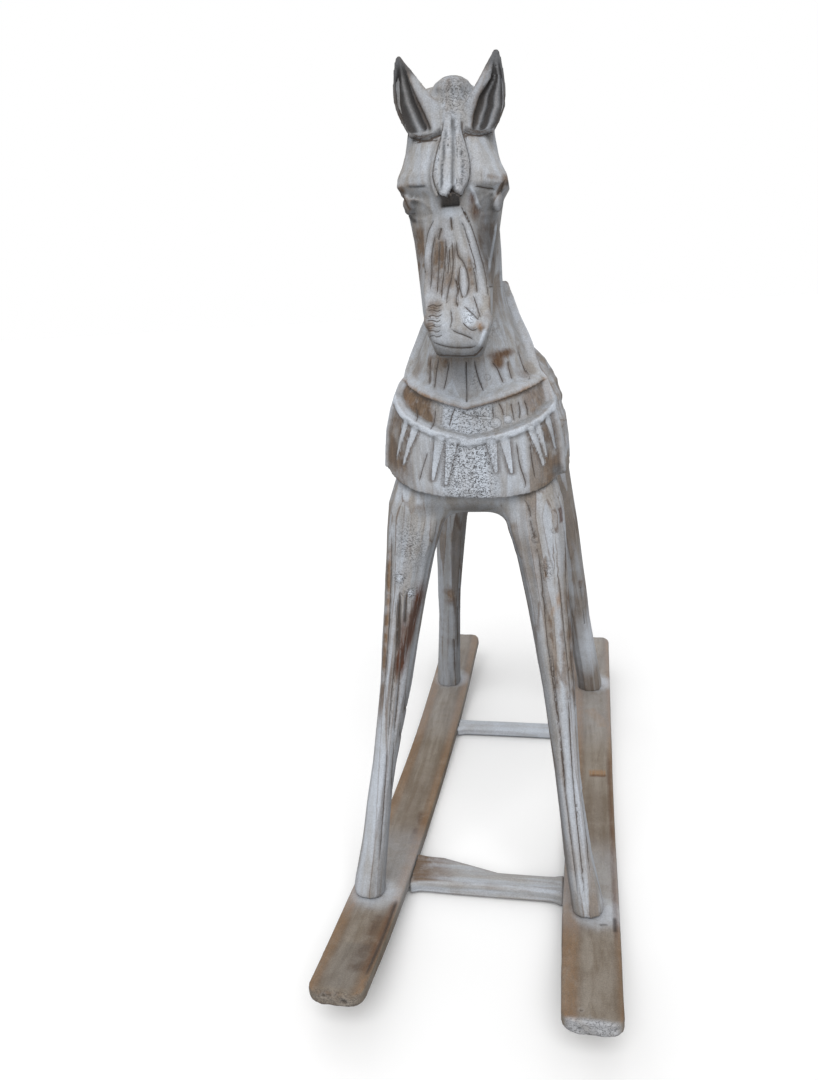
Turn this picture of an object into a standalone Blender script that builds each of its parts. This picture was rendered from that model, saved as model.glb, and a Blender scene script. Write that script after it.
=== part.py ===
"""Carved wooden rocking horse on two bent rocker boards, in metres, +Z up.

The horse looks along -Y and is carved as one piece: barrel, neck, head, ears, collar, saddle cloth,
mane, tail and four splayed legs. Its feet stand on two rocker boards, which two hewn crossbars join.
X = 0 is the plane midway between the rockers, Y = 0 the middle of their length, and Z = 0 the floor
under their lowest facet.
"""

from math import cos, pi, radians, sin

import bmesh
import bpy
from mathutils import Matrix, Vector

# Stand
GAP = 0.0003
ROCKER_CENTRE_X = 0.1315
ROCKER_HALF_LENGTH = 0.483
ROCKER_WIDTH = 0.067
ROCKER_REAR_SPREAD = 0.005
ROCKER_THICKNESS = 0.016
ROCKER_RADIUS = 2.6
ROCKER_FACETS = 11
ROCKER_END_ROUND = 0.015
ROCKER_END_STEPS = 4
ROCKER_FRONT_TAPER = 0.006
ROCKER_FRONT_DRIFT = 0.002
ROCKER_TAPER_REACH = 0.16
ROCKER_EDGE_ROUND = 0.0022
BAR_FRONT_Y = -0.233
BAR_REAR_Y = 0.180
BAR_DEPTH = 0.031
BAR_DROP = 0.0058
BAR_CLEARANCE = 0.0014
BAR_END_FLARE = 0.0045
BAR_SWELL = 0.022
BAR_EDGE_ROUND = 0.003
BAR_SECTIONS = 17
BAR_FLARE_SHARE = 0.2
BAR_SWELL_START = 0.12
BAR_SWELL_RUN = 0.75

# Horse
HORSE_X = -0.0015
BODY_SIDES = 24
END_GROW_START_Y = 0.16
END_GROW_RUN = 0.05
BARREL_STATIONS = (
    # y, half width, lowest z, highest z, squareness below and above
    (-0.227, 0.024, 0.540, 0.628, 2.6, 2.2),
    (-0.222, 0.045, 0.521, 0.643, 3.2, 2.3),
    (-0.212, 0.065, 0.506, 0.655, 3.8, 2.4),
    (-0.196, 0.0820, 0.499, 0.667, 4.0, 2.4),
    (-0.177, 0.0920, 0.496, 0.676, 4.0, 2.3),
    (-0.152, 0.0975, 0.494, 0.684, 3.6, 2.1),
    (-0.110, 0.0965, 0.491, 0.690, 3.0, 2.1),
    (-0.020, 0.0895, 0.486, 0.685, 2.5, 1.85),
    (0.060, 0.0890, 0.484, 0.681, 2.5, 1.75),
    (0.125, 0.0905, 0.488, 0.686, 2.5, 1.75),
    (0.170, 0.0870, 0.500, 0.684, 2.5, 1.8),
    (0.200, 0.0720, 0.525, 0.670, 2.4, 1.9),
    (0.216, 0.0450, 0.556, 0.646, 2.2, 2.0),
)
NECK_STATIONS = (
    # z, y of the middle, half width, half depth
    (0.610, -0.130, 0.084, 0.094),
    (0.650, -0.130, 0.0770, 0.092),
    (0.680, -0.130, 0.0655, 0.086),
    (0.705, -0.131, 0.0530, 0.079),
    (0.735, -0.135, 0.0420, 0.070),
    (0.760, -0.140, 0.0385, 0.064),
    (0.790, -0.147, 0.0390, 0.059),
    (0.830, -0.158, 0.0380, 0.055),
    (0.880, -0.176, 0.0365, 0.051),
    (0.925, -0.190, 0.0320, 0.042),
    (0.940, -0.196, 0.0220, 0.030),
)
HEAD_STATIONS = (
    # z, front y and half width, widest y and half width, back y and half width
    (0.949, -0.222, 0.016, -0.205, 0.032, -0.178, 0.020),
    (0.936, -0.236, 0.022, -0.216, 0.041, -0.165, 0.030),
    (0.905, -0.254, 0.026, -0.230, 0.0430, -0.155, 0.034),
    (0.885, -0.262, 0.028, -0.236, 0.0465, -0.150, 0.036),
    (0.872, -0.266, 0.030, -0.242, 0.0505, -0.147, 0.037),
    (0.861, -0.270, 0.031, -0.248, 0.0555, -0.144, 0.038),
    (0.852, -0.271, 0.030, -0.250, 0.0570, -0.142, 0.038),
    (0.842, -0.269, 0.019, -0.240, 0.0500, -0.141, 0.038),
    (0.825, -0.267, 0.0155, -0.232, 0.0465, -0.142, 0.038),
    (0.800, -0.268, 0.0225, -0.230, 0.0425, -0.148, 0.036),
    (0.775, -0.271, 0.0300, -0.236, 0.0400, -0.166, 0.032),
    (0.750, -0.277, 0.0335, -0.246, 0.0380, -0.192, 0.027),
    (0.730, -0.287, 0.0325, -0.256, 0.0365, -0.212, 0.023),
    (0.714, -0.295, 0.0305, -0.264, 0.0345, -0.222, 0.020),
    (0.699, -0.294, 0.0270, -0.268, 0.0300, -0.230, 0.018),
    (0.684, -0.286, 0.0225, -0.268, 0.0245, -0.238, 0.014),
)
HEAD_CHEEK_SHARE = 0.55
HEAD_JAW_SHARE = 0.35
HEAD_NOSE_SWELL = 0.0015
HEAD_TILT = 0.045
HEAD_TURN = 0.155
HEAD_TURN_Y = -0.2606
HEAD_TURN_END_Y = -0.225
NECK_CREST = 0.35
NECK_POWER = 2.2
NECK_SHIFT = -0.002
NECK_SHIFT_START_Z = 0.62
NECK_SHIFT_RUN = 0.1
FRONT_LEG_STATIONS = (
    # z, x, y, half width, half depth
    (0.000, 0.1300, -0.2970, 0.0195, 0.0215),
    (0.045, 0.1290, -0.2890, 0.0195, 0.0205),
    (0.100, 0.1185, -0.2775, 0.0168, 0.0180),
    (0.150, 0.1125, -0.2690, 0.0156, 0.0168),
    (0.200, 0.1065, -0.2600, 0.0150, 0.0162),
    (0.300, 0.0970, -0.2410, 0.0190, 0.0205),
    (0.350, 0.0915, -0.2300, 0.0216, 0.0232),
    (0.396, 0.0855, -0.2180, 0.0242, 0.0262),
    (0.450, 0.0785, -0.2030, 0.0290, 0.0310),
    (0.480, 0.0725, -0.1960, 0.0335, 0.0330),
    (0.512, 0.0680, -0.1880, 0.0350, 0.0335),
    (0.540, 0.0620, -0.1800, 0.0320, 0.0320),
    (0.580, 0.0540, -0.1740, 0.0270, 0.0290),
)
REAR_LEG_STATIONS = (
    (0.000, 0.1322, 0.3270, 0.0215, 0.0225),
    (0.045, 0.1315, 0.3080, 0.0212, 0.0220),
    (0.100, 0.1245, 0.2842, 0.0205, 0.0215),
    (0.200, 0.1125, 0.2434, 0.0192, 0.0210),
    (0.250, 0.1075, 0.2230, 0.0202, 0.0220),
    (0.300, 0.1008, 0.2027, 0.0214, 0.0238),
    (0.350, 0.0943, 0.1825, 0.0232, 0.0265),
    (0.396, 0.0880, 0.1636, 0.0250, 0.0300),
    (0.450, 0.0780, 0.1480, 0.0280, 0.0350),
    (0.500, 0.0690, 0.1340, 0.0310, 0.0380),
    (0.550, 0.0600, 0.1250, 0.0310, 0.0380),
)
LEG_POWER = 2.6
LEG_SIDES = 12
FORELEG_BOW = 0.0115
FORELEG_BOW_Z = 0.115
FORELEG_BOW_REACH = 0.21
EAR_HEIGHT = 0.0742
EAR_POINTS = 7
EAR_EDGE_SHARE = 0.2
EAR_STATIONS = (
    # share of the height, width, thickness, depth of the hollow, flare of the root
    (0.00, 0.0280, 0.034, 0.0030, 0.016),
    (0.12, 0.0300, 0.032, 0.0060, 0.015),
    (0.28, 0.0305, 0.028, 0.0075, 0.013),
    (0.45, 0.0280, 0.023, 0.0070, 0.010),
    (0.65, 0.0200, 0.016, 0.0050, 0.007),
    (0.82, 0.0130, 0.011, 0.0025, 0.004),
    (0.93, 0.0085, 0.008, 0.0010, 0.001),
    (1.00, 0.0040, 0.005, 0.0003, 0.0),
)
EAR_BASE = Vector((0.0268, -0.254, 0.8970))
EAR_LEANS = {-1: 0.0225, 1: 0.0200}
EAR_ROOT_SHARES = {-1: 1.5, 1: 1.0}
EAR_TURN = radians(6)
POLL_KNOB = Vector((0.0045, -0.222, 0.943))
POLL_KNOB_SIZE = Vector((0.042, 0.050, 0.028))
FORELOCK_STATIONS = (
    # z, half width, front y
    (0.945, 0.0100, -0.236),
    (0.905, 0.0085, -0.260),
    (0.885, 0.0140, -0.270),
    (0.865, 0.0185, -0.277),
    (0.850, 0.0165, -0.282),
    (0.838, 0.0120, -0.285),
)
FORELOCK_LOBES = 4
FORELOCK_TOP_X = 0.0020
FORELOCK_SWAY = 0.065
FORELOCK_FLUTE = 0.0032
FORELOCK_ROUND = 0.004
FORELOCK_BACK_Y = -0.222
EYE = Vector((0.0455, -0.2460, 0.836))
EYE_SIZE = Vector((0.012, 0.020, 0.022))
NOSTRIL = Vector((0.0285, -0.2850, 0.7210))
NOSTRIL_SIZE = Vector((0.014, 0.014, 0.018))

# Collar, saddle cloth, mane and tail
CUTTER_REACH = 0.3
COLLAR_FRONT_Y = -0.225
# height at the front, slope towards the flank, fall towards +X, climb away from the middle
COLLAR_BOTTOM = (0.529, 0.62, 0.05, 0.0)
COLLAR_LOWER_RIM = (0.5930, 0.391, 0.077, 0.226)
COLLAR_UPPER_RIM = (0.629, 0.10, 0.04, 0.26)
COLLAR_FLANK_X = 0.075
COLLAR_SIDE_Y = -0.190
COLLAR_SIDE_KNEE_Z = 0.620
COLLAR_SIDE_SLOPE = 1.8
COLLAR_SIDE_TOP_Z = 0.760
COLLAR_SIDE_TILT = 0.05
COLLAR_SKIRT_GROW = 0.0080
COLLAR_SKIRT_FLARE = 1.0
COLLAR_SKIRT_FLARE_Z = 0.620
COLLAR_BAND_GROW = 0.0035
COLLAR_LOWER_RIM_GROW = 0.0100
COLLAR_UPPER_RIM_GROW = 0.0080
COLLAR_RIM_HALF = 0.0036
COLLAR_SIDE_RIM_GROW = 0.0105
SIDE_RIM_DROP = 0.0013
SHOULDER_GROW = 0.0065
SHOULDER_OVERLAP = 0.0023
SHOULDER_FOOT_LIFT = -0.0050
SHOULDER_OUTLINE = (
    # y, z behind the collar's edge
    (-0.160, 0.543),
    (-0.120, 0.565),
    (-0.095, 0.610),
    (-0.090, 0.655),
    (-0.102, 0.695),
    (-0.125, 0.728),
)
SADDLE_GROW = 0.0050
SADDLE_FRONT_Y = -0.065
SADDLE_REAR_Y = 0.110
SADDLE_BOTTOM_Z = 0.560
SADDLE_TOP_Z = 0.800
SADDLE_FLARE = 0.015
MANE_PATH = (
    # y, z down the crest of the neck
    (-0.176, 0.942),
    (-0.150, 0.924),
    (-0.127, 0.882),
    (-0.106, 0.832),
    (-0.088, 0.784),
    (-0.069, 0.738),
    (-0.048, 0.702),
    (-0.016, 0.684),
)
MANE_LOCK_RINGS = 3
MANE_HALF_WIDTH = 0.013
MANE_LIFT = 0.007
MANE_LOCK_LIFT = 0.009
MANE_ROOT = 0.014
TAIL_STATIONS = (
    # y, z, radius
    (0.200, 0.668, 0.012),
    (0.222, 0.655, 0.018),
    (0.240, 0.610, 0.023),
    (0.247, 0.550, 0.024),
    (0.246, 0.490, 0.020),
    (0.240, 0.440, 0.012),
    (0.236, 0.418, 0.004),
)
LOCK_SIDES = 10

COLLECTION = bpy.data.collections.new("rocking_horse")
CUTTERS = bpy.data.collections.new("rocking_horse_cutters")
PAINT_COLOR = (0.62, 0.60, 0.57)
BOARD_COLOR = (0.36, 0.31, 0.26)
ROUGHNESS = 0.6


def clear_scene():
    for obj in list(bpy.data.objects):
        bpy.data.objects.remove(obj, do_unlink=True)
    bpy.context.scene.collection.children.link(COLLECTION)
    bpy.context.scene.collection.children.link(CUTTERS)
    CUTTERS.hide_render = True


def wood(name, color):
    """A plain wood material of one colour."""
    material = bpy.data.materials.new(name)
    material.use_nodes = True
    shader = material.node_tree.nodes["Principled BSDF"]
    shader.inputs["Base Color"].default_value = (*color, 1.0)
    shader.inputs["Roughness"].default_value = ROUGHNESS
    shader.inputs["Metallic"].default_value = 0.0
    return material


def object_from(bm, name, collection):
    """Turns the bmesh into an object whose faces point outwards."""
    bmesh.ops.remove_doubles(bm, verts=bm.verts, dist=1e-6)
    bmesh.ops.recalc_face_normals(bm, faces=bm.faces)
    mesh = bpy.data.meshes.new(name)
    bm.to_mesh(mesh)
    bm.free()
    obj = bpy.data.objects.new(name, mesh)
    collection.objects.link(obj)
    if collection is CUTTERS:
        obj.hide_render = True
        obj.display_type = "WIRE"
    return obj


def evaluated_mesh(obj):
    bpy.context.view_layer.update()
    graph = bpy.context.evaluated_depsgraph_get()
    return bpy.data.meshes.new_from_object(obj.evaluated_get(graph))


def apply_modifiers(obj):
    mesh = evaluated_mesh(obj)
    obj.modifiers.clear()
    obj.data = mesh
    return obj


def boolean(obj, other, operation, solver="EXACT"):
    """Joins, cuts or intersects obj with other, and removes other."""
    modifier = obj.modifiers.new(operation.lower(), "BOOLEAN")
    modifier.operation = operation
    modifier.solver = solver
    modifier.object = other
    apply_modifiers(obj)
    bpy.data.objects.remove(other, do_unlink=True)
    return obj


def join_all(base, others, solver="EXACT"):
    for other in others:
        boolean(base, other, "UNION", solver)
    return base


def catmull_rom(a, b, c, d, t):
    """The value at t between b and c on a smooth curve through a, b, c and d."""
    return 0.5 * (2 * b + (c - a) * t + (2 * a - 5 * b + 4 * c - d) * t * t + (3 * b - a - 3 * c + d) * t**3)


def refine(stations, steps):
    """Adds smooth stations, steps to each interval, between the given ones."""
    last = len(stations) - 1
    found = []
    for i in range(last):
        rows = [stations[min(max(i + k, 0), last)] for k in (-1, 0, 1, 2)]
        for step in range(steps):
            found.append([catmull_rom(*column, step / steps) for column in zip(*rows)])
    found.append(list(stations[last]))
    return found


def superellipse(half_a, half_b, power, count):
    """Points (a, b) around a rounded rectangle; power 2 is an ellipse."""
    for i in range(count):
        angle = 2 * pi * (i + 0.5) / count
        c, s = cos(angle), sin(angle)
        reach = (abs(c) ** power + abs(s) ** power) ** (-1 / power)
        yield half_a * c * reach, half_b * s * reach


def loft(rings, name):
    """A closed solid through rings of equally many points."""
    bm = bmesh.new()
    rows = [[bm.verts.new(point) for point in ring] for ring in rings]
    count = len(rows[0])
    for lower, upper in zip(rows, rows[1:]):
        for i in range(count):
            j = (i + 1) % count
            bm.faces.new((lower[i], lower[j], upper[j], upper[i]))
    for row in (rows[0], rows[-1]):
        centre = bm.verts.new(sum((v.co for v in row), Vector()) / count)
        for i in range(count):
            bm.faces.new((row[i], row[(i + 1) % count], centre))
    return object_from(bm, name, CUTTERS)


def prism(outline, half, name):
    """The outline drawn out along X.

    Its points are (y, z), and then, if wanted, how far each falls towards +X and how far it climbs
    away from the middle, both for a metre of X.
    """
    bm = bmesh.new()
    points = [(*point, 0.0, 0.0)[:4] for point in outline]
    bent = any(climb for *_, climb in points)
    stations = (-half, 0.0, half) if bent else (-half, half)
    rings = []
    for x in stations:
        rings.append([bm.verts.new((x, y, z - fall * x + climb * abs(x))) for y, z, fall, climb in points])
    bm.faces.new(rings[0])
    bm.faces.new(rings[-1])
    for near, far in zip(rings, rings[1:]):
        for i in range(len(points)):
            j = (i + 1) % len(points)
            bm.faces.new((near[i], near[j], far[j], far[i]))
    return object_from(bm, name, CUTTERS)


def ball(size, place, name):
    """A squashed ball of the given full sizes."""
    bm = bmesh.new()
    bmesh.ops.create_uvsphere(bm, u_segments=10, v_segments=6, radius=0.5)
    matrix = Matrix.LocRotScale(place, None, size)
    bmesh.ops.transform(bm, matrix=matrix, verts=bm.verts)
    return object_from(bm, name, CUTTERS)


# Rockers and crossbars


def arc_height(y):
    """The height of a rocker's underside at y: straight facets between points on an arc."""
    step = 2 * ROCKER_HALF_LENGTH / ROCKER_FACETS
    cell = max(0.0, (abs(y) - step / 2) / step)
    whole = int(cell)
    near, far = ((k * step) * ((k + 1) * step) / (2 * ROCKER_RADIUS) for k in (whole, whole + 1))
    return near + (far - near) * (cell - whole)


def facet_ends():
    """The y of each end of a rocker's facets."""
    step = 2 * ROCKER_HALF_LENGTH / ROCKER_FACETS
    return [-ROCKER_HALF_LENGTH + i * step for i in range(ROCKER_FACETS + 1)]


def front_share(y):
    """How far y lies in the tapered front of a rocker, from 0 to 1 at the tip."""
    return max(0.0, (-y - ROCKER_HALF_LENGTH) / ROCKER_TAPER_REACH + 1)


def board_half_width(y):
    """Half the width of a rocker at y: it is broader behind, and the corners of its ends are rounded."""
    spread = ROCKER_REAR_SPREAD * max(0.0, y / ROCKER_HALF_LENGTH)
    half = (ROCKER_WIDTH + spread - ROCKER_FRONT_TAPER * front_share(y)) / 2
    inside = ROCKER_HALF_LENGTH - abs(y)
    if inside < ROCKER_END_ROUND:
        half -= ROCKER_END_ROUND - (ROCKER_END_ROUND**2 - (ROCKER_END_ROUND - inside) ** 2) ** 0.5
    return half


def rocker(name, side, material):
    """One bent board, faceted underneath along its length."""
    inner = facet_ends()[1:-1]
    turns = [pi / 2 * k / ROCKER_END_STEPS for k in range(ROCKER_END_STEPS + 1)]
    ends = [ROCKER_HALF_LENGTH - ROCKER_END_ROUND * (1 - sin(turn)) for turn in turns]
    stations = sorted([-y for y in ends] + inner + ends)
    rings = []
    for y in stations:
        half = board_half_width(y)
        low = arc_height(y)
        high = low + ROCKER_THICKNESS
        edge = ROCKER_EDGE_ROUND
        section = (
            (half, low + edge),
            (half, high - edge),
            (half - edge, high),
            (-half + edge, high),
            (-half, high - edge),
            (-half, low + edge),
            (-half + edge, low),
            (half - edge, low),
        )
        middle = side * ROCKER_CENTRE_X + ROCKER_FRONT_DRIFT * front_share(y)
        rings.append([Vector((middle + x, y, z)) for x, z in section])
    board = loft(rings, name)
    return placed(board, name, material)


def placed(obj, name, material):
    """Moves a finished solid from the helpers to the object's own collection."""
    CUTTERS.objects.unlink(obj)
    COLLECTION.objects.link(obj)
    obj.hide_render = False
    obj.display_type = "TEXTURED"
    obj.name = name
    obj.data.name = name
    obj.data.materials.clear()
    obj.data.materials.append(material)
    return obj


def crossbar(name, y, swell, material):
    """A hewn bar between the rockers, thicker where it meets them; swell widens its back towards -X."""
    reach = ROCKER_CENTRE_X - board_half_width(y + BAR_DEPTH) - GAP
    top = arc_height(y) + ROCKER_THICKNESS - BAR_DROP
    low = BAR_CLEARANCE
    edge = BAR_EDGE_ROUND
    rings = []
    for i in range(BAR_SECTIONS):
        across = -1 + 2 * i / (BAR_SECTIONS - 1)
        flared = max(0.0, (abs(across) - 1) / BAR_FLARE_SHARE + 1)
        front = BAR_DEPTH / 2 + BAR_END_FLARE * flared**2
        back = front + swell * max(0.0, min(1.0, (BAR_SWELL_START - across) / BAR_SWELL_RUN))
        section = (
            (-front, low + edge),
            (-front, top - edge),
            (-front + edge, top),
            (back - edge, top),
            (back, top - edge),
            (back, low + edge),
            (back - edge, low),
            (-front + edge, low),
        )
        rings.append([Vector((across * reach, y + dy, z)) for dy, z in section])
    return placed(loft(rings, name), name, material)


# Horse


def barrel(grow, name):
    """The body, from chest to rump, as upright sections along Y, narrower above than below."""
    rings = []
    for y, half, low, high, below, above in refine(BARREL_STATIONS, 2):
        middle = (low + high) / 2
        size = (half + grow, (high - low) / 2 + grow)
        upper = list(superellipse(*size, above, BODY_SIDES))[: BODY_SIDES // 2]
        lower = list(superellipse(*size, below, BODY_SIDES))[BODY_SIDES // 2 :]
        shift = grow if y > 0 else -grow
        along = y + shift * min(1.0, max(0.0, (abs(y) - END_GROW_START_Y) / END_GROW_RUN))
        rings.append([Vector((a, along, middle + b)) for a, b in upper + lower])
    return loft(rings, name)


def neck(grow, name):
    """The neck as level sections, narrower at the crest than at the throat, leaning towards -X."""
    rings = []
    for z, y, half, deep in refine(NECK_STATIONS, 2):
        ring = []
        shift = NECK_SHIFT * min(1.0, max(0.0, (z - NECK_SHIFT_START_Z) / NECK_SHIFT_RUN))
        for a, b in superellipse(half + grow, deep + grow, NECK_POWER, BODY_SIDES):
            crest = max(0.0, b / (deep + grow))
            ring.append(Vector((a * (1 - NECK_CREST * crest) + shift, y + b, z)))
        rings.append(ring)
    return loft(rings, name)


def trunk(grow, name):
    return boolean(barrel(grow, name), neck(grow, name + "_neck"), "UNION")


def tilted(point):
    """The head is carved a little askew: its -X side is higher, and its face is turned towards +X."""
    turned = HEAD_TURN * (HEAD_TURN_Y - min(point.y, HEAD_TURN_END_Y))
    return Vector((point.x + turned, point.y, point.z - HEAD_TILT * point.x))


def head():
    """The head in planes: a flat front, two cheeks and a jaw."""
    rings = []
    for z, front, front_half, mid, mid_half, back, back_half in HEAD_STATIONS:
        cheek_half = front_half + (mid_half - front_half) * HEAD_CHEEK_SHARE
        jaw_half = back_half + (mid_half - back_half) * HEAD_JAW_SHARE
        right = [
            (front_half * 0.5, front - HEAD_NOSE_SWELL),
            (front_half, front + HEAD_NOSE_SWELL),
            (cheek_half, (front + mid) / 2),
            (mid_half, mid),
            (mid_half, (mid + back) / 2),
            (jaw_half, mid + (back - mid) * 0.85),
            (back_half * 0.6, back),
        ]
        left = [(-x, y) for x, y in reversed(right)]
        rings.append([tilted(Vector((x, y, z))) for x, y in right + left])
    return loft(rings, "head")


def ear(side):
    """A leaf-shaped ear: hollow in front, round behind, with a root that flares towards the poll."""
    across = [-1 + 2 * k / (EAR_POINTS - 1) for k in range(EAR_POINTS)]
    rings = []
    for t, width, thick, hollow, flare in refine(EAR_STATIONS, 2):
        half = width / 2
        face = [(u * half, hollow * (1 - u * u)) for u in across]
        root = flare * EAR_ROOT_SHARES[side]
        back = []
        for u in reversed(across):
            round_back = EAR_EDGE_SHARE + (1 - EAR_EDGE_SHARE) * (1 - u * u)
            back.append((u * half - root * (1 - u) / 2, thick * round_back))
        lean = EAR_LEANS[side] * (1 - (1 - t) ** 2)
        rings.append([(x + lean, y, t * EAR_HEIGHT) for x, y in face + back])
    turn = Matrix.Rotation(EAR_TURN, 3, "Z")
    placed_rings = []
    for ring in rings:
        points = [turn @ Vector(point) + EAR_BASE for point in ring]
        placed_rings.append([Vector((side * p.x, p.y, p.z - HEAD_TILT * side * p.x)) for p in points])
    return loft(placed_rings, "ear")


def forelock():
    """A fluted tongue of hair from the poll down over the forehead."""
    rings = []
    for z, half, front in refine(FORELOCK_STATIONS, 2):
        middle = FORELOCK_TOP_X - FORELOCK_SWAY * (FORELOCK_STATIONS[0][0] - z)
        ring = []
        for k in range(2 * FORELOCK_LOBES + 1):
            u = -1 + k / FORELOCK_LOBES
            depth = FORELOCK_FLUTE if k % 2 else 0.0
            ring.append(tilted(Vector((middle + u * half, front - depth + FORELOCK_ROUND * abs(u), z))))
        for u in (0.9, 0.0, -0.9):
            ring.append(tilted(Vector((middle + u * half, FORELOCK_BACK_Y, z))))
        rings.append(ring)
    return loft(rings, "forelock")


def leg(stations, side, bow):
    """A splayed leg in hewn facets, from inside the body to below the rocker's top."""
    rings = []
    for z, x, y, half, deep in stations:
        away = min(1.0, abs(z - FORELEG_BOW_Z) / FORELEG_BOW_REACH)
        x += bow * (1 - away * away) ** 2
        section = superellipse(half, deep, LEG_POWER, LEG_SIDES)
        rings.append([Vector((side * x + a, y + b, z)) for a, b in section])
    return loft(rings, "leg")


def legs():
    return [
        leg(FRONT_LEG_STATIONS, -1, FORELEG_BOW),
        leg(FRONT_LEG_STATIONS, 1, 0.0),
        leg(REAR_LEG_STATIONS, -1, 0.0),
        leg(REAR_LEG_STATIONS, 1, 0.0),
    ]


def feet_cutter():
    """Everything below the tops of the rockers, with the gap between wood and wood."""
    ys = facet_ends()
    tops = [(y, arc_height(y) + ROCKER_THICKNESS + GAP) for y in ys]
    outline = tops + [(ys[-1], -0.1), (ys[0], -0.1)]
    return prism(outline, CUTTER_REACH, "feet_cutter")


def collar_line(line, y, lift=0.0):
    """The height at y of a line of the collar, in the middle of the chest."""
    height, slope, *_ = line
    return height + lift + slope * (y - COLLAR_FRONT_Y)


def side_line(z):
    """The y at height z of the collar's edge on the shoulder: upright, then leaning back."""
    return COLLAR_SIDE_Y + max(0.0, z - COLLAR_SIDE_KNEE_Z) / COLLAR_SIDE_SLOPE


def meeting(line, lift, back):
    """Where a line of the collar runs into its edge on the shoulder, which back moves along Y."""
    _, slope, fall, climb = line
    y = COLLAR_SIDE_Y + back
    z = collar_line(line, y, lift + climb * COLLAR_FLANK_X)
    if z > COLLAR_SIDE_KNEE_Z:
        y += (z - COLLAR_SIDE_KNEE_Z) / (COLLAR_SIDE_SLOPE - slope)
    return y, collar_line(line, y, lift), fall, climb


def collar_zone(low, high, back, name):
    """The side view between two lines, each with its lift, and before the collar's edge on the shoulder."""
    front = -CUTTER_REACH
    near_low = (front, collar_line(low[0], front, low[1]), *low[0][2:])
    near_high = (front, collar_line(high[0], front, high[1]), *high[0][2:])
    outline = [near_low, meeting(*low, back), meeting(*high, back), near_high]
    return prism(outline, CUTTER_REACH, name)


def side_zone():
    """The side view of the rim along the collar's edge on the shoulder."""
    foot_z = meeting(COLLAR_BOTTOM, 0.0, 0.0)[1]
    top_y = side_line(COLLAR_SIDE_TOP_Z)
    half = COLLAR_RIM_HALF
    outline = [
        (COLLAR_SIDE_Y - half, foot_z - SIDE_RIM_DROP),
        (COLLAR_SIDE_Y + half, foot_z - SIDE_RIM_DROP),
        (COLLAR_SIDE_Y + half, COLLAR_SIDE_KNEE_Z),
        (top_y + half, COLLAR_SIDE_TOP_Z),
        (top_y - half, COLLAR_SIDE_TOP_Z),
        (COLLAR_SIDE_Y - half, COLLAR_SIDE_KNEE_Z),
    ]
    return prism([(y, z, COLLAR_SIDE_TILT) for y, z in outline], CUTTER_REACH, "side_zone")


def shoulder_zone():
    """The side view of the leaf carved on the shoulder behind the collar."""
    top = SHOULDER_OUTLINE[-1][1]
    foot_z = meeting(COLLAR_BOTTOM, 0.0, 0.0)[1]
    edge = [
        (side_line(top) - SHOULDER_OVERLAP, top),
        (COLLAR_SIDE_Y - SHOULDER_OVERLAP, COLLAR_SIDE_KNEE_Z),
        (COLLAR_SIDE_Y - SHOULDER_OVERLAP, foot_z + SHOULDER_FOOT_LIFT),
    ]
    outline = [(y, z, COLLAR_SIDE_TILT) for y, z in edge + list(SHOULDER_OUTLINE)]
    return prism(outline, CUTTER_REACH, "shoulder_zone")


def collar_layer(zone, grow, name, flare=0.0):
    """The skin of the trunk, grown outwards and broadened downwards by flare, inside the zone."""
    skin = trunk(grow, name)
    for vertex in skin.data.vertices:
        vertex.co.x *= 1 + flare * max(0.0, COLLAR_SKIRT_FLARE_Z - vertex.co.z)
    return boolean(skin, zone, "INTERSECT")


def collar():
    """A breast collar: two stepped bands, a raised rim above each, and a rim along each shoulder."""
    half = COLLAR_RIM_HALF
    bottom, lower, upper = COLLAR_BOTTOM, COLLAR_LOWER_RIM, COLLAR_UPPER_RIM
    skirt_zone = collar_zone((bottom, 0.0), (lower, 0.0), 0.0, "skirt_zone")
    band_zone = collar_zone((lower, -half / 2), (upper, 0.0), -half / 4, "band_zone")
    lower_zone = collar_zone((lower, -half), (lower, half), half / 4, "lower_rim_zone")
    upper_zone = collar_zone((upper, -half), (upper, half), half / 2, "upper_rim_zone")
    return [
        collar_layer(skirt_zone, COLLAR_SKIRT_GROW, "skirt", COLLAR_SKIRT_FLARE),
        collar_layer(band_zone, COLLAR_BAND_GROW, "band"),
        collar_layer(lower_zone, COLLAR_LOWER_RIM_GROW, "lower_rim", COLLAR_SKIRT_FLARE),
        collar_layer(upper_zone, COLLAR_UPPER_RIM_GROW, "upper_rim"),
        collar_layer(shoulder_zone(), SHOULDER_GROW, "shoulder_leaf", COLLAR_SKIRT_FLARE),
        collar_layer(side_zone(), COLLAR_SIDE_RIM_GROW, "side_rim", COLLAR_SKIRT_FLARE),
    ]


def saddle_cloth():
    """A cloth carved over the back, with its hem on the flanks."""
    outline = [
        (SADDLE_FRONT_Y, SADDLE_BOTTOM_Z),
        (SADDLE_REAR_Y, SADDLE_BOTTOM_Z),
        (SADDLE_REAR_Y + SADDLE_FLARE, SADDLE_TOP_Z),
        (SADDLE_FRONT_Y - SADDLE_FLARE, SADDLE_TOP_Z),
    ]
    zone = prism(outline, CUTTER_REACH, "saddle_zone")
    return boolean(barrel(SADDLE_GROW, "saddle"), zone, "INTERSECT")


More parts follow.
